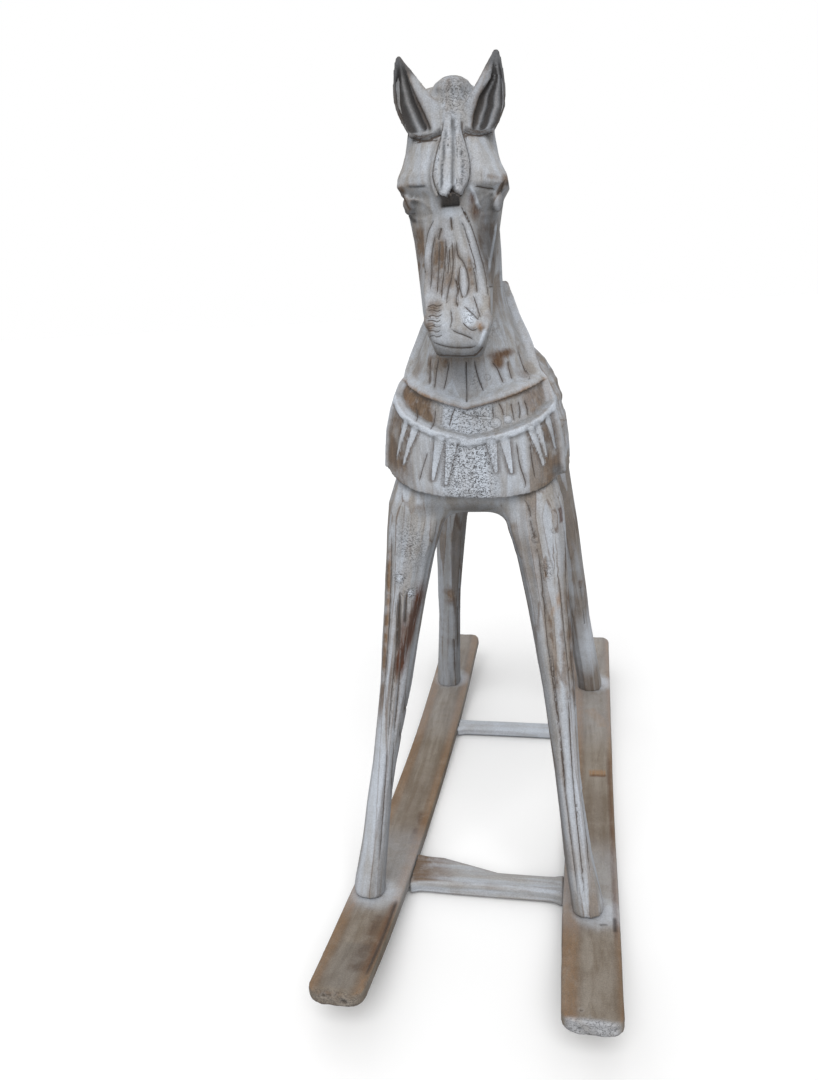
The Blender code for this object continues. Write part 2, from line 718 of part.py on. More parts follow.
def mane():
    """Locks that overlap like steps down the crest of the neck."""
    path = refine(MANE_PATH, MANE_LOCK_RINGS)
    rings = []
    for i, (y, z) in enumerate(path):
        before = path[max(i - 1, 0)]
        after = path[min(i + 1, len(path) - 1)]
        along = Vector((0.0, after[0] - before[0], after[1] - before[1])).normalized()
        out = Vector((0.0, -along.z, along.y))
        share = (i % MANE_LOCK_RINGS) / (MANE_LOCK_RINGS - 1)
        half = MANE_HALF_WIDTH * (4 + share) / 5
        lift = MANE_LIFT + MANE_LOCK_LIFT * share
        ring = []
        for a, b in superellipse(half, 1.0, 2.0, LOCK_SIDES):
            reach = lift if b > 0 else MANE_ROOT
            ring.append(Vector((a, y, z)) + out * b * reach)
        rings.append(ring)
    return loft(rings, "mane")


def tail():
    """A full tail that hangs from the rump."""
    rings = []
    for y, z, radius in refine(TAIL_STATIONS, 2):
        ring = superellipse(radius, radius * 0.8, 2.0, LOCK_SIDES)
        rings.append([Vector((a, y + b, z)) for a, b in ring])
    return loft(rings, "tail")


def face_details():
    """Eyes and nostrils that stand out from the planes of the head."""
    pieces = []
    for side in (-1, 1):
        eye = Vector((side * EYE.x, EYE.y, EYE.z))
        pieces.append(ball(EYE_SIZE, tilted(eye), "eye"))
        nostril = Vector((side * NOSTRIL.x, NOSTRIL.y, NOSTRIL.z))
        pieces.append(ball(NOSTRIL_SIZE, tilted(nostril), "nostril"))
    pieces.append(ball(POLL_KNOB_SIZE, tilted(POLL_KNOB), "poll_knob"))
    return pieces


def horse(material):
    body = trunk(0.0, "horse")
    parts = legs()
    parts.append(head())
    parts += [ear(-1), ear(1)]
    parts.append(forelock())
    parts += face_details()
    parts += [mane(), tail()]
    join_all(body, parts)
    join_all(body, collar() + [saddle_cloth()], "MANIFOLD")
    body.data.transform(Matrix.Translation((HORSE_X, 0.0, 0.0)))
    boolean(body, feet_cutter(), "DIFFERENCE")
    return placed(body, "horse", material)


def main():
    clear_scene()
    paint = wood("whitewashed_wood", PAINT_COLOR)
    board = wood("worn_board", BOARD_COLOR)
    horse(paint)
    rocker("rocker_right", -1, board)
    rocker("rocker_left", 1, board)
    crossbar("crossbar_front", BAR_FRONT_Y, BAR_SWELL, paint)
    crossbar("crossbar_rear", BAR_REAR_Y, 0.0, paint)


main()
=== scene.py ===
"""The look of a carved and whitewashed rocking horse that stands on two boards.

Everything is in metres. The horse faces -Y, Z is up and the boards rest on Z = 0.
"""

import logging
from collections.abc import Sequence
from dataclasses import dataclass, field
from enum import Enum
from math import cos, pi, radians, sin

import bmesh
import bpy
import numpy as np
from mathutils import Matrix, Vector
from mathutils.bvhtree import BVHTree


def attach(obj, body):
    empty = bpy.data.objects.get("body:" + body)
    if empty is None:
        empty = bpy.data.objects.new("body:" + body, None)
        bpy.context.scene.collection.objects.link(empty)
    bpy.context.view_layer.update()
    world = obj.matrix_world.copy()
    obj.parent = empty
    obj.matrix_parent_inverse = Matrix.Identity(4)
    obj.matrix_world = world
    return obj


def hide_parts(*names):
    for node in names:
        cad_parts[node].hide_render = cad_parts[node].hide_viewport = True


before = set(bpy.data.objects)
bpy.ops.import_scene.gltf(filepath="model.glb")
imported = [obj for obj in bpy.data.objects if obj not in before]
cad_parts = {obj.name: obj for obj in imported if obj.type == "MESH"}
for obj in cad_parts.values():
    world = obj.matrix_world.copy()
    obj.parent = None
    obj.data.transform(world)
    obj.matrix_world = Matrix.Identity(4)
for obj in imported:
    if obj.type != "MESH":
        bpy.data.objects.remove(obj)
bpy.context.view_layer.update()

LOG = logging.getLogger("rocking_horse")

Array = np.ndarray
Color = tuple[float, float, float]
Point = tuple[float, float, float]
Pair = tuple[float, float]
Seen = tuple[float, ...]
Socket = bpy.types.NodeSocket
Node = bpy.types.Node
Tree = bpy.types.NodeTree
Mesh = bpy.types.Mesh
Object = bpy.types.Object
Material = bpy.types.Material
Value = Socket | float | int | str | tuple | None
Hit = tuple[Vector, Vector]
Ramp = tuple[float, float, float, float]

MM = 0.001
FAR = 1.0
TINY = 1e-9
EVERY_POINT = slice(None)


class Slot(Enum):
    """The finishes that the record names."""

    PAINTED = "whitewashed_wood"
    BOARD = "worn_board"


class Way(Enum):
    """The direction in which the wood was hewn."""

    UP = "grain_up"
    ALONG = "grain_along"


class Mask(Enum):
    """What is marked on a surface, from 0 to 1."""

    BARE = "bare"
    PALE = "pale"
    DARK = "dark"
    # This dark grey mask is mostly painted shade: in grooves and hollows, under overhangs and on faces turned away
    # from the light; elsewhere it marks dark grey patches.
    SOOT_AND_SHADE = "soot"
    OCHRE = "ochre"
    STAIN = "stain"
    CRACKLE = "crackle"
    RIDGE = "ridge"
    # Hollows are darkened in the material as painted shade.
    HOLLOW = "hollow"


BARE, PALE, DARK, SOOT_AND_SHADE, OCHRE, STAIN, CRACKLE, RIDGE, HOLLOW = Mask
Groove = tuple[float, float, Mask, float, float]
Look = tuple[tuple[float, float, Mask, float], ...]


def ease(low: float, high: float, value: Array) -> Array:
    """Goes smoothly from 0 at low to 1 at high.

    Args:
        low: The value that gives 0.
        high: The value that gives 1, which may be below low.
        value: The values to map.

    Returns:
        The eased shares.
    """
    share = np.clip((value - low) / (high - low), 0.0, 1.0)
    return share * share * (3 - 2 * share)


def spot(points: Array, centre: Sequence[float], size: Sequence[float]) -> Array:
    """A soft ellipsoid.

    Args:
        points: The places to measure.
        centre: The middle of the ellipsoid.
        size: How far it reaches along X, Y and Z.

    Returns:
        1 in the middle and 0 from the reach outwards.
    """
    away = np.linalg.norm((points - np.array(centre)) / np.array(size), axis=1)
    return ease(1.0, 0.0, away)


def spline(path: Sequence[Sequence[float]], steps: int) -> list[Vector]:
    """A smooth path through a few points.

    Args:
        path: The points, two or more.
        steps: How many pieces each stretch is cut into.

    Returns:
        The points of the finer path.
    """
    given = [Vector(p) for p in path]
    padded = [2 * given[0] - given[1], *given, 2 * given[-1] - given[-2]]
    fine = []
    for i in range(1, len(padded) - 2):
        a, b, c, d = padded[i - 1 : i + 3]
        for k in range(steps):
            t = k / steps
            bend = (2 * a - 5 * b + 4 * c - d) * t * t + (3 * b - 3 * c + d - a) * t**3
            fine.append(b + ((c - a) * t + bend) / 2)
    fine.append(given[-1])
    return fine


class Bench:
    """Places nodes in one tree and wires them up."""

    def __init__(self, tree: Tree) -> None:
        """Takes the tree to work in."""
        self.tree = tree

    def feed(self, socket: Socket, value: Value) -> None:
        """Links a socket to an output, or sets its value."""
        if isinstance(value, Socket):
            self.tree.links.new(value, socket)
        elif value is not None:
            socket.default_value = value

    def node(self, kind: str, inputs: dict | None = None, **settings: object) -> Node:
        """Adds a node.

        Args:
            kind: The node's type.
            inputs: Values or outputs by socket name or number.
            settings: The node's own properties.

        Returns:
            The node.
        """
        made = self.tree.nodes.new(kind)
        for name, value in settings.items():
            setattr(made, name, value)
        for socket, value in (inputs or {}).items():
            self.feed(made.inputs[socket], value)
        return made

    def math(self, operation: str, *values: Value, clamp: bool = False) -> Socket:
        """The result of one sum on numbers."""
        made = self.node("ShaderNodeMath", operation=operation, use_clamp=clamp)
        for socket, value in zip(made.inputs, values):
            self.feed(socket, value)
        return made.outputs[0]

    def times(self, *values: Value, clamp: bool = False) -> Socket:
        """One number times another."""
        return self.math("MULTIPLY", *values, clamp=clamp)

    def plus(self, *values: Value, clamp: bool = False) -> Socket:
        """One number plus another."""
        return self.math("ADD", *values, clamp=clamp)

    def less(self, *values: Value, clamp: bool = False) -> Socket:
        """One number less another."""
        return self.math("SUBTRACT", *values, clamp=clamp)

    def most(self, *values: Value) -> Socket:
        """The larger of two numbers."""
        return self.math("MAXIMUM", *values)

    def join(self, *values: Value) -> Socket:
        """A vector from three numbers."""
        return self.node("ShaderNodeCombineXYZ", dict(enumerate(values))).outputs[0]

    def vector(self, operation: str, *values: Value) -> Socket:
        """The result of one sum on vectors."""
        made = self.node("ShaderNodeVectorMath", operation=operation)
        for socket, value in zip(made.inputs, values):
            self.feed(socket, value)
        return made.outputs["Value" if operation == "DOT_PRODUCT" else "Vector"]

    def color(self, share: Value, first: Value, second: Value, way: str = "MIX") -> Socket:
        """A mix of two colours."""
        made = self.node("ShaderNodeMix", data_type="RGBA", blend_type=way)
        for socket, value in zip((made.inputs[0], made.inputs[6], made.inputs[7]), (share, first, second)):
            self.feed(socket, (*value, 1.0) if isinstance(value, tuple) and len(value) == 3 else value)
        return made.outputs[2]

    def blend(self, share: Value, first: Value, second: Value) -> Socket:
        """A mix of two numbers."""
        made = self.node("ShaderNodeMix", data_type="FLOAT")
        for socket, value in zip((made.inputs[0], made.inputs[2], made.inputs[3]), (share, first, second)):
            self.feed(socket, value)
        return made.outputs[0]

    def ramp(self, value: Value, low: Value, high: Value, start: float = 0.0, end: float = 1.0) -> Socket:
        """Goes smoothly from start, where value is low, to end, where it is high."""
        made = self.node("ShaderNodeMapRange", interpolation_type="SMOOTHSTEP")
        for socket, given in zip(made.inputs, (value, low, high, start, end)):
            self.feed(socket, given)
        return made.outputs[0]

    def noise(self, vector: Value, scale: float, detail: float = 2.0, rough: float = 0.5, out: str = "Fac") -> Socket:
        """A cloudy pattern."""
        inputs = {"Vector": vector, "Scale": scale, "Detail": detail, "Roughness": rough}
        return self.node("ShaderNodeTexNoise", inputs).outputs[out]

    def cells(self, vector: Value, scale: float, feature: str) -> Node:
        """A pattern of cells."""
        return self.node("ShaderNodeTexVoronoi", {"Vector": vector, "Scale": scale}, feature=feature)

    def stored(self, name: Value, kind: str) -> Socket:
        """What a mesh's points carry under a name, in a geometry tree."""
        return self.node("GeometryNodeInputNamedAttribute", {"Name": name}, data_type=kind).outputs[0]

    def read(self, name: str, socket: str = "Fac") -> Socket:
        """What a piece carries under a name, in a material."""
        return self.node("ShaderNodeAttribute", attribute_name=name).outputs[socket]

    def use(self, group: Tree, inputs: dict[str, Value]) -> bpy.types.bpy_prop_collection:
        """Places a node group, sets its inputs and gives its outputs."""
        return self.node("ShaderNodeGroup", inputs, node_tree=group).outputs


SOCKET_KINDS = {float: "Float", int: "Int", str: "String"}
MIDDLE_GREY = (0.5, 0.5, 0.5)
GOUGE_WOBBLE = 0.55
GOUGE_WOBBLE_SCALE = 0.8


def new_tree(kind: str, name: str, inputs: dict[str, object], outputs: Sequence[str]) -> tuple[Bench, Node]:
    """Makes an empty node tree with its sockets.

    Args:
        kind: The kind of tree.
        name: The tree's name.
        inputs: The default of each input, by its name; an input without one has the type that its name says.
        outputs: The outputs: a geometry where one is named so, and numbers.

    Returns:
        The bench and the node of the inputs.
    """
    tree = bpy.data.node_groups.new(name, kind)
    for label, default in inputs.items():
        socket = label if default is None else SOCKET_KINDS[type(default)]
        made = tree.interface.new_socket(label, in_out="INPUT", socket_type="NodeSocket" + socket)
        if default is not None:
            made.default_value = default
    for label in outputs:
        socket = label if label == "Geometry" else "Float"
        tree.interface.new_socket(label, in_out="OUTPUT", socket_type="NodeSocket" + socket)
    bench = Bench(tree)
    return bench, bench.node("NodeGroupInput")


def gouge_nodes(bench: Bench, vector: Value, width: Value, length: Value, seed: Value) -> tuple[Socket, Node, Socket]:
    """Long cells side by side, as a gouge cuts them. Meshes and materials share them.

    Args:
        bench: The tree's bench.
        vector: A place, with the way of the cut as its third number.
        width: The width of a cut.
        length: The length of a cut.
        seed: Moves the pattern.

    Returns:
        How far the nearest ridge is, the node of the cells, and the place in their scale.
    """
    size = bench.join(width, width, length)
    shift = bench.join(seed, seed, seed)
    place = bench.vector("ADD", bench.vector("DIVIDE", vector, size), shift)
    cloud = bench.noise(place, GOUGE_WOBBLE_SCALE, 1.0, out="Color")
    wobble = bench.vector("MULTIPLY", bench.vector("SUBTRACT", cloud, MIDDLE_GREY), (GOUGE_WOBBLE,) * 3)
    place = bench.vector("ADD", place, wobble)
    edge = bench.cells(place, 1.0, "DISTANCE_TO_EDGE").outputs["Distance"]
    return edge, bench.cells(place, 1.0, "F1"), place


@dataclass(frozen=True)
class Gouging:
    """One patch of gouge marks, on a piece's mesh and in its material."""

    zone: str
    way: Way
    width: float
    length: float
    depth: float
    seed: float
    tilt: float = 0.35
    line: float = 1.0
    show: float = 0.6

    def pattern(self) -> dict[str, float]:
        """What its mesh and its material share."""
        return {"Width": self.width, "Length": self.length, "Seed": self.seed}


class CarvingTrees:
    """The geometry node trees that carve and lay on."""

    def __init__(self) -> None:
        """Builds both trees."""
        self.gouge = self.gouge_tree()
        self.strip = self.strip_tree()

    @staticmethod
    def end(bench: Bench, given: Node, shape: Value) -> None:
        """Ends a tree in Realize Instances and Set Material."""
        real = bench.node("GeometryNodeRealizeInstances", {0: shape}).outputs[0]
        inputs = {"Geometry": real, "Material": given.outputs["Material"]}
        painted = bench.node("GeometryNodeSetMaterial", inputs).outputs[0]
        bench.node("NodeGroupOutput", {0: painted})

    def gouge_tree(self) -> Tree:
        """Sinks gouge marks into a surface, inside a zone."""
        inputs = {
            "Geometry": None, "Zone": "", "Grain": "", "Width": 0.02, "Length": 0.08, "Depth": 0.001, "Tilt": 0.3,
            "Seed": 0.0, "Material": None,
        }
        bench, given = new_tree("GeometryNodeTree", "gouge_marks_on_mesh", inputs, ("Geometry",))
        out = given.outputs
        zone = bench.stored(out["Zone"], "FLOAT")
        grain = bench.stored(out["Grain"], "FLOAT_VECTOR")
        edge, cells, place = gouge_nodes(bench, grain, out["Width"], out["Length"], out["Seed"])
        scoop = bench.ramp(edge, 0.0, 0.30, 0.35, -1.0)
        lean = bench.vector("SUBTRACT", cells.outputs["Color"], MIDDLE_GREY)
        lean = bench.vector("DOT_PRODUCT", lean, bench.vector("SUBTRACT", place, cells.outputs["Position"]))
        level = bench.less(bench.node("ShaderNodeSeparateXYZ", {0: cells.outputs["Color"]}).outputs[1], 0.5)
        lean = bench.times(bench.plus(bench.times(lean, 2.0), level), out["Tilt"])
        lean = bench.times(lean, bench.ramp(edge, 0.0, 0.12))
        height = bench.times(bench.plus(scoop, lean), out["Depth"])
        height = bench.times(height, zone)
        normal = bench.node("GeometryNodeInputNormal").outputs[0]
        offset = bench.node("ShaderNodeVectorMath", {0: normal, "Scale": height}, operation="SCALE").outputs[0]
        moved = bench.node("GeometryNodeSetPosition", {"Geometry": out["Geometry"], "Offset": offset})
        self.end(bench, given, moved.outputs[0])
        return bench.tree

    def strip_tree(self) -> Tree:
        """Turns marked paths into closed, flattened strips that lie on a surface."""
        inputs = {"Geometry": None, "Rise": 0.5, "Sides": 10, "Material": None}
        bench, given = new_tree("GeometryNodeTree", "strips_on_surface", inputs, ("Geometry",))
        out = given.outputs
        outward = bench.stored("outward", "FLOAT_VECTOR")
        half = bench.stored("half_width", "FLOAT")
        curve = bench.node("GeometryNodeMeshToCurve", {0: out["Geometry"]}).outputs[0]
        turned = bench.node("GeometryNodeSetCurveNormal", {"Curve": curve, "Normal": outward}, mode="FREE")
        sized = bench.node("GeometryNodeSetCurveRadius", {"Curve": turned.outputs[0], "Radius": half})
        ring = bench.node("GeometryNodeCurvePrimitiveCircle", {"Resolution": out["Sides"], "Radius": 1.0})
        scale = bench.join(out["Rise"], 1.0, 1.0)
        flat = bench.node("GeometryNodeTransform", {"Geometry": ring.outputs[0], "Scale": scale})
        inputs = {"Curve": sized.outputs[0], "Profile Curve": flat.outputs[0], "Scale": half, "Fill Caps": True}
        tube = bench.node("GeometryNodeCurveToMesh")
        for name, value in inputs.items():
            if name in tube.inputs:
                bench.feed(tube.inputs[name], value)
        self.end(bench, given, tube.outputs[0])
        return bench.tree

    @staticmethod
    def attach(target: Object, tree: Tree, values: dict[str, object]) -> None:
        """Adds a tree to an object and sets its inputs by the sockets' identifiers.

        Args:
            target: The object.
            tree: The geometry node tree.
            values: Input values by socket name.
        """
        modifier = target.modifiers.new(tree.name, "NODES")
        modifier.node_group = tree
        names = {
            item.name: item.identifier
            for item in tree.interface.items_tree
            if item.item_type == "SOCKET" and item.in_out == "INPUT"
        }
        for name, value in values.items():
            modifier[names[name]] = value


def object_of(mesh: Mesh, name: str) -> Object:
    """Puts a mesh into the scene as an object at the origin."""
    made = bpy.data.objects.new(name, mesh)
    bpy.context.scene.collection.objects.link(made)
    return made


def baked(target: Object) -> Mesh:
    """The object's mesh with its modifiers applied, which are then removed."""
    graph = bpy.context.evaluated_depsgraph_get()
    mesh = bpy.data.meshes.new_from_object(target.evaluated_get(graph), preserve_all_data_layers=True, depsgraph=graph)
    target.modifiers.clear()
    return mesh


def drop(target: Object) -> None:
    """Removes a helper object and its mesh."""
    mesh = target.data
    bpy.data.objects.remove(target)
    bpy.data.meshes.remove(mesh)


def merged_copy(node: Object) -> Mesh:
    """A copy of a node's loose triangles, joined at their corners."""
    made = bmesh.new()
    made.from_mesh(node.data)
    bmesh.ops.remove_doubles(made, verts=made.verts, dist=1e-5)
    mesh = bpy.data.meshes.new(node.name + "_joined")
    made.to_mesh(mesh)
    made.free()
    return mesh


class Surface:
    """Finds places on a solid from outside."""

    def __init__(self, mesh: Mesh) -> None:
        """Takes the solid's mesh."""
        corners = [v.co.copy() for v in mesh.vertices]
        self.tree = BVHTree.FromPolygons(corners, [tuple(p.vertices) for p in mesh.polygons])

    def hit(self, start: Vector, way: Vector) -> Hit | None:
        """The first place and its normal from start along way, or None."""
        place, normal, _, _ = self.tree.ray_cast(start, way)
        return None if place is None else (place, normal)

    def front(self, x: float, z: float) -> Hit | None:
        """The place that is seen from the front."""
        return self.hit(Vector((x, -FAR, z)), Vector((0.0, 1.0, 0.0)))

    def flank(self, side: int, y: float, z: float) -> Hit | None:
        """The place that is seen from one side."""
        return self.hit(Vector((side * FAR, y, z)), Vector((-side, 0.0, 0.0)))


@dataclass(frozen=True)
class Strip:
    """A raised strip that lies on a surface."""

    places: list[Hit]
    halves: list[float]
    rise: float = 0.5


def strip_shells(strips: Sequence[Strip], trees: CarvingTrees) -> list[Mesh]:
    """Makes closed shells of strips.

    Args:
        strips: The strips.
        trees: The trees that make them.

    Returns:
        One mesh for each rise that the strips have.
    """
    shells = []
    for rise in sorted({s.rise for s in strips}):
        same = [s for s in strips if s.rise == rise]
        points = [place for s in same for place, _ in s.places]
        outward = np.array([tuple(normal) for s in same for _, normal in s.places], np.float32)
        halves = np.array([h for s in same for h in s.halves], np.float32)
        edges, first = [], 0
        for s in same:
            count = len(s.places)
            edges += [(first + i, first + i + 1) for i in range(count - 1)]
            first += count
        mesh = bpy.data.meshes.new("strip_paths")
        mesh.from_pydata(points, edges, [])
        mesh.attributes.new("outward", "FLOAT_VECTOR", "POINT").data.foreach_set("vector", outward.ravel())
        mesh.attributes.new("half_width", "FLOAT", "POINT").data.foreach_set("value", halves)
        helper = object_of(mesh, "strip_paths")
        trees.attach(helper, trees.strip, {"Rise": rise})
        shells.append(baked(helper))
        drop(helper)
    return shells


def rows_of(items: bpy.types.bpy_prop_collection, key: str, width: int, kind: type) -> Array:
    """Reads one property of all items, as a row of width numbers for each."""
    values = np.empty(len(items) * width, kind)
    items.foreach_get(key, values)
    return values.reshape(-1, width)


def neighbour_sum(ends: Array, values: Array) -> Array:
    """Adds up what lies at the other ends of each point's edges.

    Args:
        ends: The two ends of each edge.
        values: A row of numbers for each point.

    Returns:
        The sums, in the same rows.
    """
    a, b = ends.T
    count = len(values)
    return np.stack([np.bincount(a, v[b], count) + np.bincount(b, v[a], count) for v in values.T], 1)


class Sculpt:
    """A dense closed skin that is smoothed, pushed along its normals and marked."""

    SHRINK = 0.5
    GROW_BACK = 0.52
    FILL_SHARE = 0.9
    RELIEF_SHARE = 0.6
    FINE_ROUNDS = 3
    FINE_HEIGHT = 0.35
    BROAD_ROUNDS = 14
    RIDGE_SHARES = (0.6, 0.6)
    HOLLOW_SHARES = (0.5, 0.7)
    LINE_REACH = 0.0027
    COARSE_STEPS = 10
    DETAIL_COST = 1e-4

    def __init__(self, name: str, shells: Sequence[Mesh], voxel: float) -> None:
        """Unites overlapping closed shells into one skin.

        Args:
            name: The name of the piece.
            shells: The shells' meshes.
            voxel: The pitch of the skin.
        """
        union = bmesh.new()
        for shell in shells:
            union.from_mesh(shell)
        mesh = bpy.data.meshes.new(name)
        union.to_mesh(mesh)
        union.free()
        self.piece = object_of(mesh, name)
        remesh = self.piece.modifiers.new("skin", "REMESH")
        remesh.mode = "VOXEL"
        remesh.voxel_size = voxel
        self.piece.data = baked(self.piece)
        self.piece.data.materials.clear()
        self.detail: Array | None = None
        self.read()
        self.masks = {mask: np.zeros(len(self.points)) for mask in Mask}
        self.line_gap = np.full(len(self.points), self.LINE_REACH)
        self.line_off = np.full(len(self.points), FAR)
        self.line_near = np.zeros(len(self.points))

    def read(self) -> None:
        """Reads the points and edges from the mesh."""
        self.points = rows_of(self.piece.data.vertices, "co", 3, float)
        self.edges = rows_of(self.piece.data.edges, "vertices", 2, np.int64)
        self.degree = np.bincount(self.edges.ravel(), minlength=len(self.points)).clip(1)
        self.refresh()

    def write(self) -> None:
        """Writes the points to the mesh."""
        self.piece.data.vertices.foreach_set("co", self.points.astype(np.float32).ravel())
        self.piece.data.update()

    def refresh(self) -> None:
        """Writes the points and reads the normals."""
        self.write()
        self.normals = rows_of(self.piece.data.vertex_normals, "vector", 3, np.float32).astype(float)

    def average(self, values: Array) -> Array:
        """The mean over each point's neighbours, by rows."""
        return neighbour_sum(self.edges, values) / self.degree[:, None]

    def relax(self, rounds: int, share: Array | float = 1.0, keep_volume: bool = True) -> None:
        """Smooths the skin.

        Args:
            rounds: How many times.
            share: How much of it each point takes.
            keep_volume: Whether each round pushes back what it shrank.
        """
        share = np.broadcast_to(share, len(self.points))[:, None]
        for _ in range(rounds):
            self.points += share * self.SHRINK * (self.average(self.points) - self.points)
            if keep_volume:
                self.points -= share * self.GROW_BACK * (self.average(self.points) - self.points)
        self.refresh()

    def push(self, height: Array, found: Array | slice = EVERY_POINT) -> None:
        """Moves all points, or those found, along their normals."""
        self.points[found] += self.normals[found] * height[:, None]

    def mark(self, mask: Mask, amount: Array, found: Array | slice = EVERY_POINT) -> None:
        """Raises a mask to an amount where it is lower, at all points or at those found."""
        self.masks[mask][found] = np.maximum(self.masks[mask][found], np.clip(amount, 0.0, 1.0))

    def paint(self, *marks: tuple[Mask, Array]) -> None:
        """Raises several masks to their amounts."""
        for mask, amount in marks:
            self.mark(mask, amount)

    def near(
        self, path: Sequence[Vector], reach: float, weights: Point = (1.0, 1.0, 1.0)
    ) -> tuple[Array, Array, Array, Array]:
        """Measures the skin against a path.

        Args:
            path: The points of the path.
            reach: How far from the path it looks.
            weights: How much the distances along X, Y and Z count.

        Returns:
            The indices of the points within reach, their distances, the shares of the path's length, and the
            side of the path that each is on, -1 or 1.
        """
        scale = np.array(weights)
        line = np.array([tuple(p) for p in path])
        low, high = line.min(0) - reach / scale, line.max(0) + reach / scale
        found = np.flatnonzero(((self.points > low) & (self.points < high)).all(1))
        places = self.points[found] * scale
        line *= scale
        best = np.full(len(found), np.inf)
        share = np.zeros(len(found))
        side = np.ones(len(found))
        lengths = np.linalg.norm(np.diff(line, axis=0), axis=1)
        total = max(lengths.sum(), TINY)
        passed = 0.0
        for start, stop, length in zip(line[:-1], line[1:], lengths):
            way = (stop - start) / max(length, TINY)
            t = np.clip((places - start) @ way, 0.0, length)
            off = places - start - t[:, None] * way
            gap = np.linalg.norm(off, axis=1)
            closer = gap < best
            best[closer] = gap[closer]
            share[closer] = (passed + t[closer]) / total
            turned = (off * np.cross(way, self.normals[found])).sum(1)
            side[closer] = np.where(turned[closer] < 0, -1.0, 1.0)
            passed += length
        inside = best < reach
        return found[inside], best[inside], share[inside], side[inside]

    def ink(self, found: Array, off: Array, half: Array | float, amount: Array | float) -> None:
        """Draws a line that stays thin and sharp between the points of the skin.

        Args:
            found: The indices of the points near the line.
            off: How far each is from it, with the sign of its side.
            half: Half the line's width.
            amount: How dark it is.
        """
        closer = np.abs(off) < self.line_gap[found]
        found, off = found[closer], off[closer]
        half, amount = (np.broadcast_to(v, closer.shape)[closer] for v in (half, amount))
        self.line_gap[found] = np.abs(off)
        self.line_off[found] = off / half
        self.line_near[found] = amount * ease(self.LINE_REACH, self.LINE_REACH * 0.4, np.abs(off))

    def groove(
        self, path: Sequence[Vector], half: float, depth: float, mask: Mask | None = DARK, amount: float = 0.6,
        taper: float = 0.15, weights: Point = (1.0, 1.0, 1.0), line: float = 0.0,
    ) -> None:
        """Cuts a groove along a path, or raises a ridge where depth is below 0.

        Args:
            path: The points of the path.
            half: Half the groove's width.
            depth: Its depth in the middle.
            mask: What is marked in it.
            amount: How strongly.
            taper: The share of the length over which each end fades.
            weights: How much the distances along X, Y and Z count.
            line: Half the width of the dark line at its bottom, 0 for none.
        """
        if len(path) < 2:
            return
        found, gap, share, side = self.near(path, max(half * 2.0, self.LINE_REACH * (line > 0)), weights)
        fade = ease(0.0, taper, share) * ease(1.0, 1.0 - taper, share) if taper else 1.0
        self.push(-depth * (ease(half, 0.0, gap) * fade), found)
        if mask is not None:
            self.mark(mask, amount * ease(half, half * 0.3, gap) * fade, found)
        if line > 0:
            self.ink(found, gap * side, line * (0.25 + 0.75 * fade), ease(0.0, 0.2, fade))

    def fill(self, region: Array, rounds: int) -> None:
        """Rounds off the inside corners of a region, which only gain wood.

        Args:
            region: Whether each point takes part.
            rounds: How many times.
        """
        chosen = np.flatnonzero(region)
        new = np.full(len(self.points), -1)
        new[chosen] = np.arange(len(chosen))
        ends = new[self.edges]
        ends = ends[(ends >= 0).all(1)]
        count = np.bincount(ends.ravel(), minlength=len(chosen)).clip(1)
        free = count == self.degree[chosen]
        points, normals = self.points[chosen], self.normals[chosen]
        for _ in range(rounds):
            move = neighbour_sum(ends, points) / count[:, None] - points
            outward = (move * normals).sum(1)
            points += move * (self.FILL_SHARE * free * (outward > 0))[:, None]
        self.points[chosen] = points
        self.refresh()

    def relief(self, rounds: int) -> Array:
        """How far each point stands above the smoothed skin, below 0 in hollows."""
        smooth = self.points.copy()
        for _ in range(rounds):
            smooth += self.RELIEF_SHARE * (self.average(smooth) - smooth)
        return ((self.points - smooth) * self.normals).sum(1)

    def store(self, name: str, values: Array) -> None:
        """Keeps numbers or vectors on the mesh's points."""
        vectors = values.ndim == 2
        kind, key = ("FLOAT_VECTOR", "vector") if vectors else ("FLOAT", "value")
        attribute = self.piece.data.attributes.get(name) or self.piece.data.attributes.new(name, kind, "POINT")
        attribute.data.foreach_set(key, values.astype(np.float32).ravel())

    def gouge(self, trees: CarvingTrees, patches: Sequence[Gouging]) -> None:
        """Sinks gouge marks into the skin, whose grain and zones have been stored.

        Args:
            trees: The trees that carve.
            patches: The patches of marks.
        """
        self.write()
        for patch in patches:
            values = {"Zone": patch.zone, "Grain": patch.way.value, "Depth": patch.depth, "Tilt": patch.tilt}
            trees.attach(self.piece, trees.gouge, values | patch.pattern())
        self.piece.data = baked(self.piece)
        self.read()

    def wear_and_shade(self, height: float) -> None:
        """Marks ridges as worn and hollows for painted shade, by how far they stand out or lie deep.

        Args:
            height: The relief that counts as fully worn or fully hollow.
        """
        fine = self.relief(self.FINE_ROUNDS) / (height * self.FINE_HEIGHT)
        broad = self.relief(self.BROAD_ROUNDS) / height
        for mask, sign, shares in ((RIDGE, 1, self.RIDGE_SHARES), (HOLLOW, -1, self.HOLLOW_SHARES)):
            self.mark(mask, sum(np.clip(sign * r, 0, 1) * share for r, share in zip((fine, broad), shares)))

